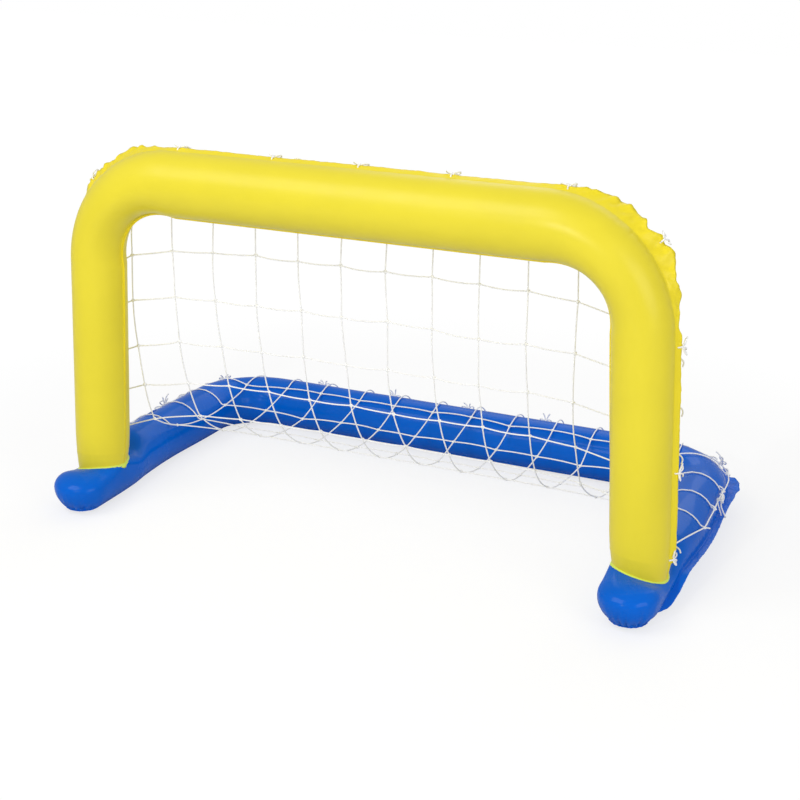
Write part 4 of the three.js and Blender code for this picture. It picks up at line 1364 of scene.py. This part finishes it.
def add_tail(parts, centre, across, down, draw):
    """The short end of the border cord that sticks out of an edge knot."""
    tube = min((nearest_on(line, centre) for line in (base_line, frame_line)), key=lambda near: near.distance)
    away = (centre - tube.at).normalized()
    way = draw.choice((-1, 1))
    length = draw.uniform(*TAIL_LENGTHS)
    line = [centre] + [
        combine(centre, (away, length * off), (across, way * length * along), (down, length * low))
        for off, along, low in ((0.3, 0.3, 0.0), (0.35, 0.7, 0.2), (0.15, 1.0, 0.5))
    ]
    add_cord(parts, eased_line(line, 5), CORD_RADIUS * 1.1, flare=0.25)


# Ties

EASE_STEPS = 6
TIE_SHEET_GAP = 0.0002
TIE_DRIFT = 0.0015
BOW_WRAP_STEPS = 20
BOW_END_FLARE = 0.3

# A bow's loops: the spans of their length, width, tilt and droop, then their points as shares of these,
# (out, down, down by the droop), with their distance off the knot's face
BOW_LOOP_SPANS = [(0.012, 0.017), (0.0075, 0.0100), (-0.15, 0.35), (0.1, 0.5)]
BOW_LOOP = [
    (0.45, -0.62, 0.3, 0.002), (0.9, -0.35, 1.0, 0.003), (1.0, 0.25, 1.0, 0.002),
    (0.6, 0.55, 0.8, 0.0005), (0.15, 0.15, 0.0, 0.001),
]

# A bow's two ends: the spans of their length and swing, then their points as (out, down, off the face)
BOW_END_SPANS = [(0.013, 0.021), (0.25, 0.8)]
BOW_END = [(0.3, 0.3, 0.0035), (0.6, 0.68, 0.0042), (1.0, 1.0, 0.0025)]


def tie_spot(line, column, row, shift=0.0):
    """A tie's places: on the net's edge strand, and at the eyelet in the flange beside it."""
    before = (math.floor(column), math.floor(row))
    after = (math.ceil(column), math.ceil(row))
    share = column - before[0] + row - before[1]
    knots = {before: knot_spot(*before), after: knot_spot(*after)}
    strand = route(strand_line(knots, before, after))
    net = strand(share)
    close = nearest_on(line, net)
    spot = nearest_on(line, combine(close.at, (close.along, shift)))
    spot.net = net
    spot.net_along = (strand(min(share + 0.1, 1)) - strand(max(share - 0.1, 0))).normalized()
    return spot


def tie_spots():
    frame_spots = [tie_spot(frame_line, column, 0) for column in BAR_TIE_COLUMNS]
    base_spots = []
    high, middle, low, side, rear_corner = SIDE_TIE_ROWS
    for right in (True, False):
        column = LAST_COLUMN if right else 0
        corner = CORNER_TIE_COLUMN if right else LAST_COLUMN - CORNER_TIE_COLUMN
        frame_spots.append(tie_spot(frame_line, corner, 0))
        frame_spots.append(tie_spot(frame_line, column, high))
        frame_spots.append(tie_spot(frame_line, column, middle))
        frame_spots.append(tie_spot(frame_line, column, low, -EYELET_DROP if right else EYELET_DROP))
        base_spots.append(tie_spot(base_line, column, side))
        base_spots.append(tie_spot(base_line, column, rear_corner))
    base_spots.extend(tie_spot(base_line, column, LAST_ROW) for column in REAR_TIE_COLUMNS)
    return frame_spots, base_spots


def fine_section(sections, run):
    """The fine section nearest to a distance along a tube."""
    return min(sections, key=lambda section: abs(section.run - run))


def flange_place(section, inset):
    """A place on the folded outer flange, an inset away from its rim."""
    rise = section.lift * (1 - inset / section.flange) ** FOLD_POWER
    return combine(section.weld, (section.way, section.flange - inset), (section.normal, rise))


def tie_parts(spot, sections, at_rim, seed):
    """A cord through the eyelet and round the net's edge, tied in a bow."""
    draw = random.Random(seed)
    parts = MeshParts()
    share = spot.run / spot.line_length
    section = fine_section(sections, share * sections[-1].run)
    way, normal, along = section.way, section.normal, spot.along
    rim, eyelet = flange_place(section, 0), flange_place(section, EYELET_INSET)
    radius = TIE_RADIUS
    face = SHEET + radius + TIE_SHEET_GAP
    to_net = (spot.net - eyelet).normalized()
    outward = (section.out - to_net * section.out.dot(to_net)).normalized()
    strand = CORD_RADIUS + radius
    if at_rim:
        knot = combine(rim, (way, radius * 1.2), (normal, radius))
        hang = (way * 0.6 + normal * 0.5).normalized()
        face_way = (way * 0.5 - normal * 0.6).normalized()
    else:
        knot = combine(spot.net, (outward, strand + radius * 1.5))
        face_way, hang = outward, to_net
    drift = along * draw.uniform(-TIE_DRIFT, TIE_DRIFT)
    ring = [
        combine(eyelet, (normal, -face)),
        combine(rim, (way, radius), (normal, -face)) + drift,
        combine(rim, (way, radius * 1.6)),
        combine(rim, (way, radius * 0.6), (normal, face)) - drift,
    ]
    halfway = combine(eyelet.lerp(spot.net, 0.5), (outward, -radius))
    if at_rim:
        halfway = pushed_out(halfway, radius + SHEET)
    else:
        ring += [combine(eyelet.lerp(spot.net, 0.55), (outward, radius * 2.2)), knot]
    ring += [
        combine(spot.net, (outward, strand), (to_net, strand * 0.3)),
        combine(spot.net, (to_net, strand * 1.2)),
        combine(spot.net, (outward, -strand)),
        halfway,
        combine(eyelet, (normal, face)),
    ]
    add_cord(parts, eased_line(ring, EASE_STEPS, closed=True), radius, closed=True)
    add_bow(parts, knot, along, face_way, hang, draw)
    return parts


def add_bow(parts, knot, side, face, hang, draw):
    """A knot with two loops and two ends, in the directions side, face and hang."""
    wrap = []
    for angle in round_angles(BOW_WRAP_STEPS):
        wrap.append(combine(
            knot,
            (side, 0.0011 * math.cos(angle) + 0.0012 * math.cos(2 * angle)),
            (face, 0.0019 * math.sin(2 * angle)),
            (hang, 0.0017 * math.cos(2 * angle)),
        ))
    add_cord(parts, wrap, TIE_RADIUS * 1.05, closed=True)
    for way in (1, -1):
        length, width, tilt, droop = (draw.uniform(*span) for span in BOW_LOOP_SPANS)
        reach = (side * way * math.cos(tilt) + face * math.sin(tilt)).normalized()
        loop = [combine(knot, (reach, 0.001))] + [
            combine(knot, (reach, length * out), (hang, width * (down + droop * bent)), (face, off))
            for out, down, bent, off in BOW_LOOP
        ]
        add_cord(parts, eased_line(loop, EASE_STEPS), TIE_RADIUS)
        length, swing = (draw.uniform(*span) for span in BOW_END_SPANS)
        line = [combine(knot, (side, way * 0.0006))] + [
            combine(knot, (side, way * length * out * swing), (hang, length * down), (face, off))
            for out, down, off in BOW_END
        ]
        add_cord(parts, eased_line(line, EASE_STEPS), TIE_RADIUS, flare=BOW_END_FLARE)


# Valves


def valve_matrix(line, point, angle):
    """Where a valve stands: z out of the skin, x along the tube."""
    spot = nearest_on(line, point)
    z = turned_pair(spot.out, spot.rear, angle)[0].normalized()
    x = (spot.along - z * spot.along.dot(z)).normalized()
    return placing(x, z.cross(x), z, combine(spot.at, (z, spot.radius))), spot.radius


def valve_placing(kind):
    """Where the valve of the frame or of the base stands, with the tube's radius there."""
    if kind == "frame":
        return valve_matrix(frame_line, Vector((-POST_FOOT_X, MOUTH_Y, FRAME_VALVE_HEIGHT)), math.pi / 2)
    point = Vector((-SIDE_TUBE_X, MOUTH_Y + BASE_VALVE_REACH, BASE_CENTRE_HEIGHT))
    return valve_matrix(base_line, point, BASE_VALVE_ANGLE)


def skin_height(y, tube_radius):
    """Height of a tube's skin beside its crest line, measured from that line."""
    return math.sqrt(tube_radius ** 2 - y * y) - tube_radius


def open_for_valve(parts, kind):
    """Smooths a sheet round its valve and cuts the round hole for the well, under the skirt."""
    matrix, tube_radius = valve_placing(kind)
    to_valve = matrix.inverted()
    inside = set()
    for index, point in enumerate(parts.points):
        x, y, z = to_valve @ point
        distance = math.hypot(x, y)
        if distance > VALVE_BLEND_RADIUS or abs(z) > SKIRT_RADIUS:
            continue
        if distance < VALVE_HOLE_RADIUS:
            inside.add(index)
            outwards = VALVE_HOLE_RADIUS / max(distance, MM)
            x, y = x * outwards, y * outwards
        z = lerp(skin_height(y, tube_radius), z, smooth(distance, VALVE_FLAT_RADIUS, VALVE_BLEND_RADIUS))
        parts.points[index] = matrix @ Vector((x, y, z))
    parts.faces = [face for face in parts.faces if not inside.issuperset(face)]
    used = sorted({index for face in parts.faces for index in face})
    renamed = {index: place for place, index in enumerate(used)}
    parts.points = [parts.points[index] for index in used]
    parts.places = [parts.places[index] for index in used]
    parts.faces = [[renamed[index] for index in face] for face in parts.faces]


def softened(profile, radius):
    """A closed profile with its corners rounded."""
    count = len(profile)
    outline = []
    for index, corner in enumerate(profile):
        corner = Vector(corner)
        if corner.x <= 1e-9:
            outline.append(tuple(corner))
            continue
        cuts = []
        for neighbour in (Vector(profile[index - 1]), Vector(profile[(index + 1) % count])):
            side = neighbour - corner
            cuts.append(corner + side.normalized() * min(radius, side.length * CORNER_CUT_SHARE))
        start, stop = cuts
        for step in range(ROUNDING_STEPS + 1):
            share = step / ROUNDING_STEPS
            outline.append(tuple(start.lerp(corner, share).lerp(corner.lerp(stop, share), share)))
    return outline


def add_lathe(parts, profile, matrix, sides, tube_radius=None):
    """A turned shape about the valve's axis, bent down on to the tube's skin if its radius is given."""
    rings = []
    for index, (radius, height) in enumerate(profile):
        if radius < 1e-7:
            pole = parts.add_point(matrix @ Vector((0, 0, height)), (0.0, index / len(profile)))
            rings.append([pole] * sides)
            continue
        ring = []
        for angle in round_angles(sides):
            x, y = radius * math.cos(angle), radius * math.sin(angle)
            z = height + (skin_height(y, tube_radius) if tube_radius else 0.0)
            ring.append(parts.add_point(matrix @ Vector((x, y, z)), (angle * radius, index / len(profile))))
        rings.append(ring)
    parts.add_tube(rings, joined=True)


def cup_parts(matrix, tube_radius):
    """Skirt with weld ribs lying on the skin, and the well that holds the stem."""
    parts = MeshParts()
    top = SEAT_GAP + VALVE_WALL
    rib = [(SKIRT_RADIUS - drop, top * share) for drop, share in SKIRT_RIBS]
    inside = WELL_RADIUS - SKIRT_LAP
    skirt = [(inside, SEAT_GAP), (SKIRT_RADIUS, SEAT_GAP), (SKIRT_RADIUS, top * 0.7), *rib, (inside, top)]
    add_lathe(parts, softened(skirt, FINE_ROUNDING), matrix, 56, tube_radius)
    hole = STEM_RADIUS + SEAT_GAP
    well = [
        (hole, -WELL_DEPTH), (WELL_RADIUS, -WELL_DEPTH), (WELL_RADIUS, top),
        (WELL_RADIUS - 0.0003, top * 1.4), (WELL_RADIUS - VALVE_WALL, top),
        (WELL_RADIUS - VALVE_WALL, VALVE_WALL - WELL_DEPTH), (hole, VALVE_WALL - WELL_DEPTH),
    ]
    add_lathe(parts, softened(well, VALVE_ROUNDING), matrix, 48)
    return parts


def stem_parts(matrix):
    parts = MeshParts()
    lip = STEM_RADIUS + STEM_LIP
    bottom = LIP_THICKNESS - STEM_LENGTH
    profile = [
        (BORE_RADIUS, bottom), (lip, bottom), (lip, bottom + LIP_THICKNESS),
        (STEM_RADIUS, bottom + LIP_THICKNESS), (STEM_RADIUS, 0.0), (lip, 0.0),
        (lip, LIP_THICKNESS), (BORE_RADIUS, LIP_THICKNESS),
    ]
    add_lathe(parts, softened(profile, VALVE_ROUNDING), matrix, 40)
    return parts


def plug_parts(matrix):
    """Cap with a pin and a pull tab."""
    parts = MeshParts()
    pin = BORE_RADIUS - SEAT_GAP
    dish = CAP_THICKNESS * 0.8
    profile = [
        (0.0, -PLUG_LENGTH), (pin * 0.8, -PLUG_LENGTH), (pin, PIN_TAPER - PLUG_LENGTH), (pin, 0.0),
        (CAP_RADIUS, 0.0), (CAP_RADIUS, CAP_THICKNESS), (CAP_RADIUS - 0.0009, CAP_THICKNESS),
        (CAP_RADIUS - 0.0014, dish), (0.0, dish),
    ]
    add_lathe(parts, softened(profile, FINE_ROUNDING), matrix, 40)
    outline = []
    for step in range(TAB_STEPS + 1):
        angle = math.pi * step / TAB_STEPS
        outline.append((
            TAB_HALF_WIDTH * math.cos(angle), CAP_THICKNESS + TAB_HEIGHT * math.sin(angle) ** TAB_POWER))
    low = CAP_THICKNESS * 0.6
    rings = []
    for depth, share in TAB_LAYERS:
        rings.append([
            parts.add_point(matrix @ Vector((x * share, depth, lerp(low, z, share))), (x, z))
            for x, z in outline])
    parts.add_tube(rings)
    return parts


def flap_parts(matrix):
    """Check flap: a soft disc with its hinge strip."""
    parts = MeshParts()
    strip = FLAP_RADIUS / 2
    start = math.asin(0.5)
    outline = [(-STEM_RADIUS, -strip)]
    for step in range(FLAP_STEPS + 1):
        angle = lerp(math.pi + start, 3 * math.pi - start, step / FLAP_STEPS)
        outline.append((FLAP_RADIUS * math.cos(angle), FLAP_RADIUS * math.sin(angle)))
    outline.append((-STEM_RADIUS, strip))
    rings = []
    for height, share in (
        (0.0, FLAP_EDGE_SHARE), (FLAP_EDGE, 1.0),
        (FLAP_THICKNESS - FLAP_EDGE, 1.0), (FLAP_THICKNESS, FLAP_EDGE_SHARE),
    ):
        rings.append([
            parts.add_point(matrix @ Vector((x * share, y * share, height)), (x, y)) for x, y in outline])
    parts.add_tube(rings)
    return parts


# Settings


def colour_setting(name, description, default):
    return bpy.props.FloatVectorProperty(
        name=name, description=description, default=default, subtype="COLOR", size=4, min=0.0, max=1.0)


def dullness_setting(default):
    return bpy.props.FloatProperty(
        name="Roughness", description="How dull the vinyl is", default=default,
        min=0.0, max=1.0, subtype="FACTOR")


def length_setting(name, description, default):
    return bpy.props.FloatProperty(
        name=name, description=description, default=default, unit="LENGTH", subtype="DISTANCE")


def stage_setting(name, description, default, low):
    return bpy.props.FloatProperty(name=name, description=description, default=default, min=low)


def ruffle_setting(default):
    return length_setting("Ruffle", "Height of the folds in the corner flanges", default)


def pucker_setting(default):
    return length_setting("Pucker", "Depth of the puckers along the welds", default)


class GoalFrameSettings(bpy.types.PropertyGroup):
    colour: colour_setting("Colour", "Colour of the upright tube's vinyl", (0.83, 0.70, 0.035, 1.0))
    roughness: dullness_setting(0.33)
    # The weld colour is partly painted highlight: its lightness stands for the pale highlight along the weld
    # line
    weld_colour_with_highlight: colour_setting(
        "Weld colour", "Colour of the posts' welded hems on the base", (0.72, 0.86, 0.12, 1.0))
    ruffle: ruffle_setting(0.0065)
    pucker: pucker_setting(0.0009)


class GoalBaseSettings(bpy.types.PropertyGroup):
    colour: colour_setting("Colour", "Colour of the base tube's vinyl", (0.0, 0.128, 0.66, 1.0))
    roughness: dullness_setting(0.24)
    ruffle: ruffle_setting(0.0045)
    pucker: pucker_setting(0.0024)


class GoalNetSettings(bpy.types.PropertyGroup):
    # The default grey is painted shade: the white cord darkened for the shade it hangs in
    colour: colour_setting("Colour", "Colour of the net's cord", (0.48, 0.475, 0.475, 1.0))


class GoalTieSettings(bpy.types.PropertyGroup):
    colour: colour_setting("Colour", "Colour of the ties' cord", (0.9, 0.88, 0.88, 1.0))


class GoalStageSettings(bpy.types.PropertyGroup):
    lens: stage_setting("Lens", "Focal length of the camera, in millimetres", 68.2, 1.0)
    key_power: stage_setting("Key light", "Power of the main lamp, in watts", 44.0, 0.0)
    world: stage_setting("Room light", "Strength of the light from all round", 0.50, 0.0)


# Operators


FINE_UPRIGHT_STEPS = (0.0045, 0.0026)
FINE_BASE_STEPS = (0.0040, 0.0026)
UPRIGHT_PUCKERS = {"seed": 11, "spacing": 0.024, "reach": 0.030, "margin": 0.0}
BASE_PUCKERS = {"seed": 31, "spacing": 0.021, "reach": 0.034, "margin": math.pi * BASE_TUBE_RADIUS}
UPRIGHT_SHEET = {"crimp": 0.0008, "swell": 0.0006, "crinkle": 0.0042}
BASE_SHEET = {"crimp": 0.0010, "swell": 0.0010, "crinkle": 0.0030}
OUTER_BEND_GAIN = 1.2
INNER_BEND_GAIN = 0.6
INNER_SPACING_SHARE = 1.2
INNER_PUCKER_SHARE = 0.6


def pucker_sets(sections, depth, seed, spacing, reach, margin):
    """The puckers of the outer weld, and the shallower ones of the inner weld."""
    outer = make_puckers(seed, sections, spacing, depth, reach, OUTER_BEND_GAIN, margin)
    inner = make_puckers(
        seed + 1, sections, spacing * INNER_SPACING_SHARE, depth * INNER_PUCKER_SHARE,
        reach * INNER_PUCKER_SHARE, INNER_BEND_GAIN, 0.0)
    return outer, inner


def ruffled(sections, seed, height):
    for section in sections:
        section.lift = ruffle(section, seed, height)
    return sections


def fine_upright():
    return ruffled(upright_sections(*FINE_UPRIGHT_STEPS), 2.7, bpy.context.scene.goal_frame.ruffle)


def fine_base():
    return ruffled(base_sections(*FINE_BASE_STEPS), 5.9, bpy.context.scene.goal_base.ruffle)


class GOAL_OT_add_upright(bpy.types.Operator):
    """Make the front and back sheets of the yellow upright tube"""

    bl_idname = "goal.add_upright"
    bl_label = "Upright tube"

    def execute(self, context):
        sections = fine_upright()
        puckers = pucker_sets(sections, context.scene.goal_frame.pucker, **UPRIGHT_PUCKERS)
        for name, node, sign in (
            ("frame_front_sheet", "frame_front_panel", -1),
            ("frame_back_sheet", "frame_back_panel", 1),
        ):
            parts = panel_parts(sections, sign, puckers, UPRIGHT_SHEET, settle=settled_on_base)
            if sign > 0:
                open_for_valve(parts, "frame")
            make_object(name, parts, yellow_vinyl(), "goal", [node])
        for side, name in ((1, "right_post_weld_hem"), (-1, "left_post_weld_hem")):
            make_object(name, weld_bead_parts(side), weld_vinyl(), "goal")
        return {"FINISHED"}


class GOAL_OT_add_base(bpy.types.Operator):
    """Make the upper and lower sheets of the blue base tube"""

    bl_idname = "goal.add_base"
    bl_label = "Base tube"

    def execute(self, context):
        sections = fine_base()
        puckers = pucker_sets(sections, context.scene.goal_base.pucker, **BASE_PUCKERS)
        top = panel_parts(sections, 1, puckers, BASE_SHEET, rounded=True)
        open_for_valve(top, "base")
        make_object("base_top_sheet", top, blue_vinyl(), "goal", ["base_top_panel"])
        bottom = panel_parts(sections, -1, puckers, BASE_SHEET, floor=0.0, rounded=True)
        make_object("base_bottom_sheet", bottom, blue_vinyl(), "goal", ["base_bottom_panel"])
        return {"FINISHED"}


class GOAL_OT_add_net(bpy.types.Operator):
    """Make the knotted net"""

    bl_idname = "goal.add_net"
    bl_label = "Net"

    def execute(self, context):
        make_object("knotted_net", net_parts(), net_cord(), "goal", ["net"])
        return {"FINISHED"}


class GOAL_OT_add_ties(bpy.types.Operator):
    """Tie the net's edge to the eyelets in the weld flanges"""

    bl_idname = "goal.add_ties"
    bl_label = "Ties"

    def execute(self, context):
        frame_spots, base_spots = tie_spots()
        for kind, spots, line, sections, at_rim in (
            ("frame", frame_spots, frame_line, fine_upright(), True),
            ("base", base_spots, base_line, fine_base(), False),
        ):
            for index, spot in enumerate(spots):
                node = f"{kind}_tie_{index + 1}"
                spot.line_length = line[-1].run
                parts = tie_parts(spot, sections, at_rim, 100 + index + 50 * (kind == "base"))
                make_object(f"{node}_bow", parts, tie_cord(), "goal", [node])
        return {"FINISHED"}


class GOAL_OT_add_valves(bpy.types.Operator):
    """Make both valves: cup, stem, plug and check flap"""

    bl_idname = "goal.add_valves"
    bl_label = "Valves"

    def execute(self, context):
        for kind, vinyl in (("frame", yellow_vinyl()), ("base", blue_vinyl())):
            matrix, tube_radius = valve_placing(kind)
            seat = VALVE_WALL - WELL_DEPTH + SEAT_GAP
            plug_seat = seat + LIP_THICKNESS + SEAT_GAP
            flap_seat = seat + LIP_THICKNESS - STEM_LENGTH - SEAT_GAP - FLAP_THICKNESS

            def raised(height):
                return matrix @ Matrix.Translation((0, 0, height))

            make_object(f"{kind}_valve_well", cup_parts(matrix, tube_radius), vinyl, "goal",
                        [f"{kind}_valve_cup"], VALVE_SMOOTH_ANGLE)
            for part, parts in (
                ("stem", stem_parts(raised(seat))),
                ("plug", plug_parts(raised(plug_seat))),
                ("flap", flap_parts(raised(flap_seat))),
            ):
                make_object(f"{kind}_valve_{part}_soft", parts, clear_vinyl(), f"{kind}_{part}",
                            [f"{kind}_valve_{part}"], VALVE_SMOOTH_ANGLE)
        return {"FINISHED"}


# Stage

FLOOR_SIZE = 8.0
FLOOR_STEPS = 8
FLOOR_HEIGHT = -0.0002
FLOOR_GREYS = (0.70, 0.72)
FLOOR_SHADING = 0.28
WHITE_FROM = 0.95
WHITE_BY = 1.5
WHITE = (1, 1, 1, 1)
BLACK = (0, 0, 0, 1)

# Lamps: name, place, target, size and share of the main lamp's power
LAMPS = [
    ("key", (-1.1, -2.2, 2.9), (0, 0, 0.3), (2.4, 1.8), 1.0),
    ("front", (0.0, -3.6, 1.65), (0, 0, 0.4), (0.14, 0.14), 0.5),
    ("fill", (2.8, -1.7, 1.4), (0, 0, 0.4), (1.8, 1.6), 0.5),
    ("back", (0.2, 2.6, 2.4), (0, 0, 0.2), (3.4, 2.4), 0.6),
]

# The photograph's viewing angle, in radians, and the camera's place from the middle of the mouth
CAMERA_YAW, CAMERA_PITCH, CAMERA_ROLL = -0.4236, 0.348, 0.008
CAMERA_PLACE = (1.2135, -2.4613, 1.3064)
SENSOR_WIDTH = 36
CLIP_END = 100


class GOAL_OT_set_stage(bpy.types.Operator):
    """Set the floor, the lamps, the room light and the camera"""

    bl_idname = "goal.set_stage"
    bl_label = "Stage"

    def execute(self, context):
        chosen = context.scene.goal_stage
        scene = context.scene
        scene.view_settings.view_transform = "Standard"
        floor_object()
        set_room_light(scene, chosen.world)
        for name, place, target, size, share in LAMPS:
            add_lamp(name, place, target, size, chosen.key_power * share)
        scene.camera = photo_camera(chosen.lens)
        return {"FINISHED"}


def camera_ray(tree):
    """1 where the camera itself looks, and 0 for light that is on its way."""
    return new_node(tree, "ShaderNodeLightPath").outputs["Is Camera Ray"]


def set_room_light(scene, strength):
    """An even white light from all round, which the camera sees as plain white."""
    world = scene.world or bpy.data.worlds.new("studio")
    scene.world = world
    world.use_nodes = True
    tree = world.node_tree
    seen = new_node(tree, "ShaderNodeMix", {0: camera_ray(tree), 2: strength, 3: 1.0}).outputs[0]
    set_inputs(tree.nodes["Background"], {"Color": WHITE, "Strength": seen})


def floor_material():
    """Pale for the light; for the camera white, with the goal's shadow on it near the goal."""
    material, tree, shader = new_material("floor_white")
    place = object_place(tree)
    low, high = ((grey, grey, grey, 1) for grey in FLOOR_GREYS)
    tint = ramp_node(tree, noise_node(tree, place, 1.5), low, high)
    seen = camera_ray(tree)
    from_goal = new_node(tree, "ShaderNodeVectorMath", {0: place}, operation="LENGTH").outputs["Value"]
    far = range_node(tree, from_goal, WHITE_FROM, WHITE_BY)
    shaded = mix_node(tree, far, (FLOOR_SHADING, FLOOR_SHADING, FLOOR_SHADING, 1), BLACK)
    white = range_node(tree, far, to_low=1 - FLOOR_SHADING)
    set_inputs(shader, {
        "Base Color": mix_node(tree, seen, tint, shaded),
        "Roughness": 0.9,
        "Specular IOR Level": 0.1,
        "Emission Color": WHITE,
        "Emission Strength": math_node(tree, "MULTIPLY", seen, white),
    })
    return material


def floor_object():
    """A wide pale floor that shows white and keeps the goal's shadow."""
    parts = MeshParts()
    places = [lerp(-FLOOR_SIZE, FLOOR_SIZE, step / FLOOR_STEPS) for step in range(FLOOR_STEPS + 1)]
    rows = [[parts.add_point(Vector((x, y, FLOOR_HEIGHT)), (x, y)) for x in places] for y in places]
    for row, next_row in zip(rows, rows[1:]):
        parts.add_strip(row, next_row)
    return add_to_scene("floor", parts.mesh("floor", floor_material()))


def add_lamp(name, place, target, size, power):
    data = bpy.data.lights.new(name, "AREA")
    data.shape = "RECTANGLE"
    data.size, data.size_y = size
    data.energy = power
    way = Vector(target) - Vector(place)
    turn = way.to_track_quat("-Z", "Y").to_matrix().to_4x4()
    add_to_scene(name, data).matrix_world = Matrix.Translation(place) @ turn


def photo_camera(lens):
    """The camera at the photograph's viewing angle."""
    level = math.cos(CAMERA_PITCH)
    forward = Vector((
        math.sin(CAMERA_YAW) * level, math.cos(CAMERA_YAW) * level, -math.sin(CAMERA_PITCH)))
    right = forward.cross(Z_AXIS).normalized()
    right, up = turned_pair(right, right.cross(forward), CAMERA_ROLL)
    data = bpy.data.cameras.new("photo_camera")
    data.lens = lens
    data.sensor_width = SENSOR_WIDTH
    data.clip_end = CLIP_END
    camera = add_to_scene("photo_camera", data)
    camera.matrix_world = placing(right, up, -forward, Vector((0, MOUTH_Y, 0)) + Vector(CAMERA_PLACE))
    return camera


# Panel and start


SETTINGS = {
    "goal_frame": GoalFrameSettings,
    "goal_base": GoalBaseSettings,
    "goal_net": GoalNetSettings,
    "goal_ties": GoalTieSettings,
    "goal_stage": GoalStageSettings,
}

OPERATORS = (
    GOAL_OT_set_stage,
    GOAL_OT_add_upright,
    GOAL_OT_add_base,
    GOAL_OT_add_net,
    GOAL_OT_add_ties,
    GOAL_OT_add_valves,
)


class GOAL_PT_panel(bpy.types.Panel):
    """Lists the goal's pieces and their sizes"""

    bl_idname = "GOAL_PT_panel"
    bl_label = "Floating goal"
    bl_space_type = "VIEW_3D"
    bl_region_type = "UI"
    bl_category = "Goal"

    def draw(self, context):
        for operator in OPERATORS:
            self.layout.operator(operator.bl_idname)
        for name, group in SETTINGS.items():
            box = self.layout.box()
            settings = getattr(context.scene, name)
            for field in group.__annotations__:
                box.prop(settings, field)


def register():
    for group in SETTINGS.values():
        bpy.utils.register_class(group)
    for name, group in SETTINGS.items():
        setattr(bpy.types.Scene, name, bpy.props.PointerProperty(type=group))
    for operator in OPERATORS:
        bpy.utils.register_class(operator)
    bpy.utils.register_class(GOAL_PT_panel)


def unregister():
    bpy.utils.unregister_class(GOAL_PT_panel)
    for operator in reversed(OPERATORS):
        bpy.utils.unregister_class(operator)
    for name in SETTINGS:
        delattr(bpy.types.Scene, name)
    for group in reversed(list(SETTINGS.values())):
        bpy.utils.unregister_class(group)


def main():
    register()
    bpy.ops.goal.set_stage()
    bpy.ops.goal.add_upright()
    bpy.ops.goal.add_base()
    bpy.ops.goal.add_net()
    bpy.ops.goal.add_ties()
    bpy.ops.goal.add_valves()


if __name__ == "__main__":
    main()
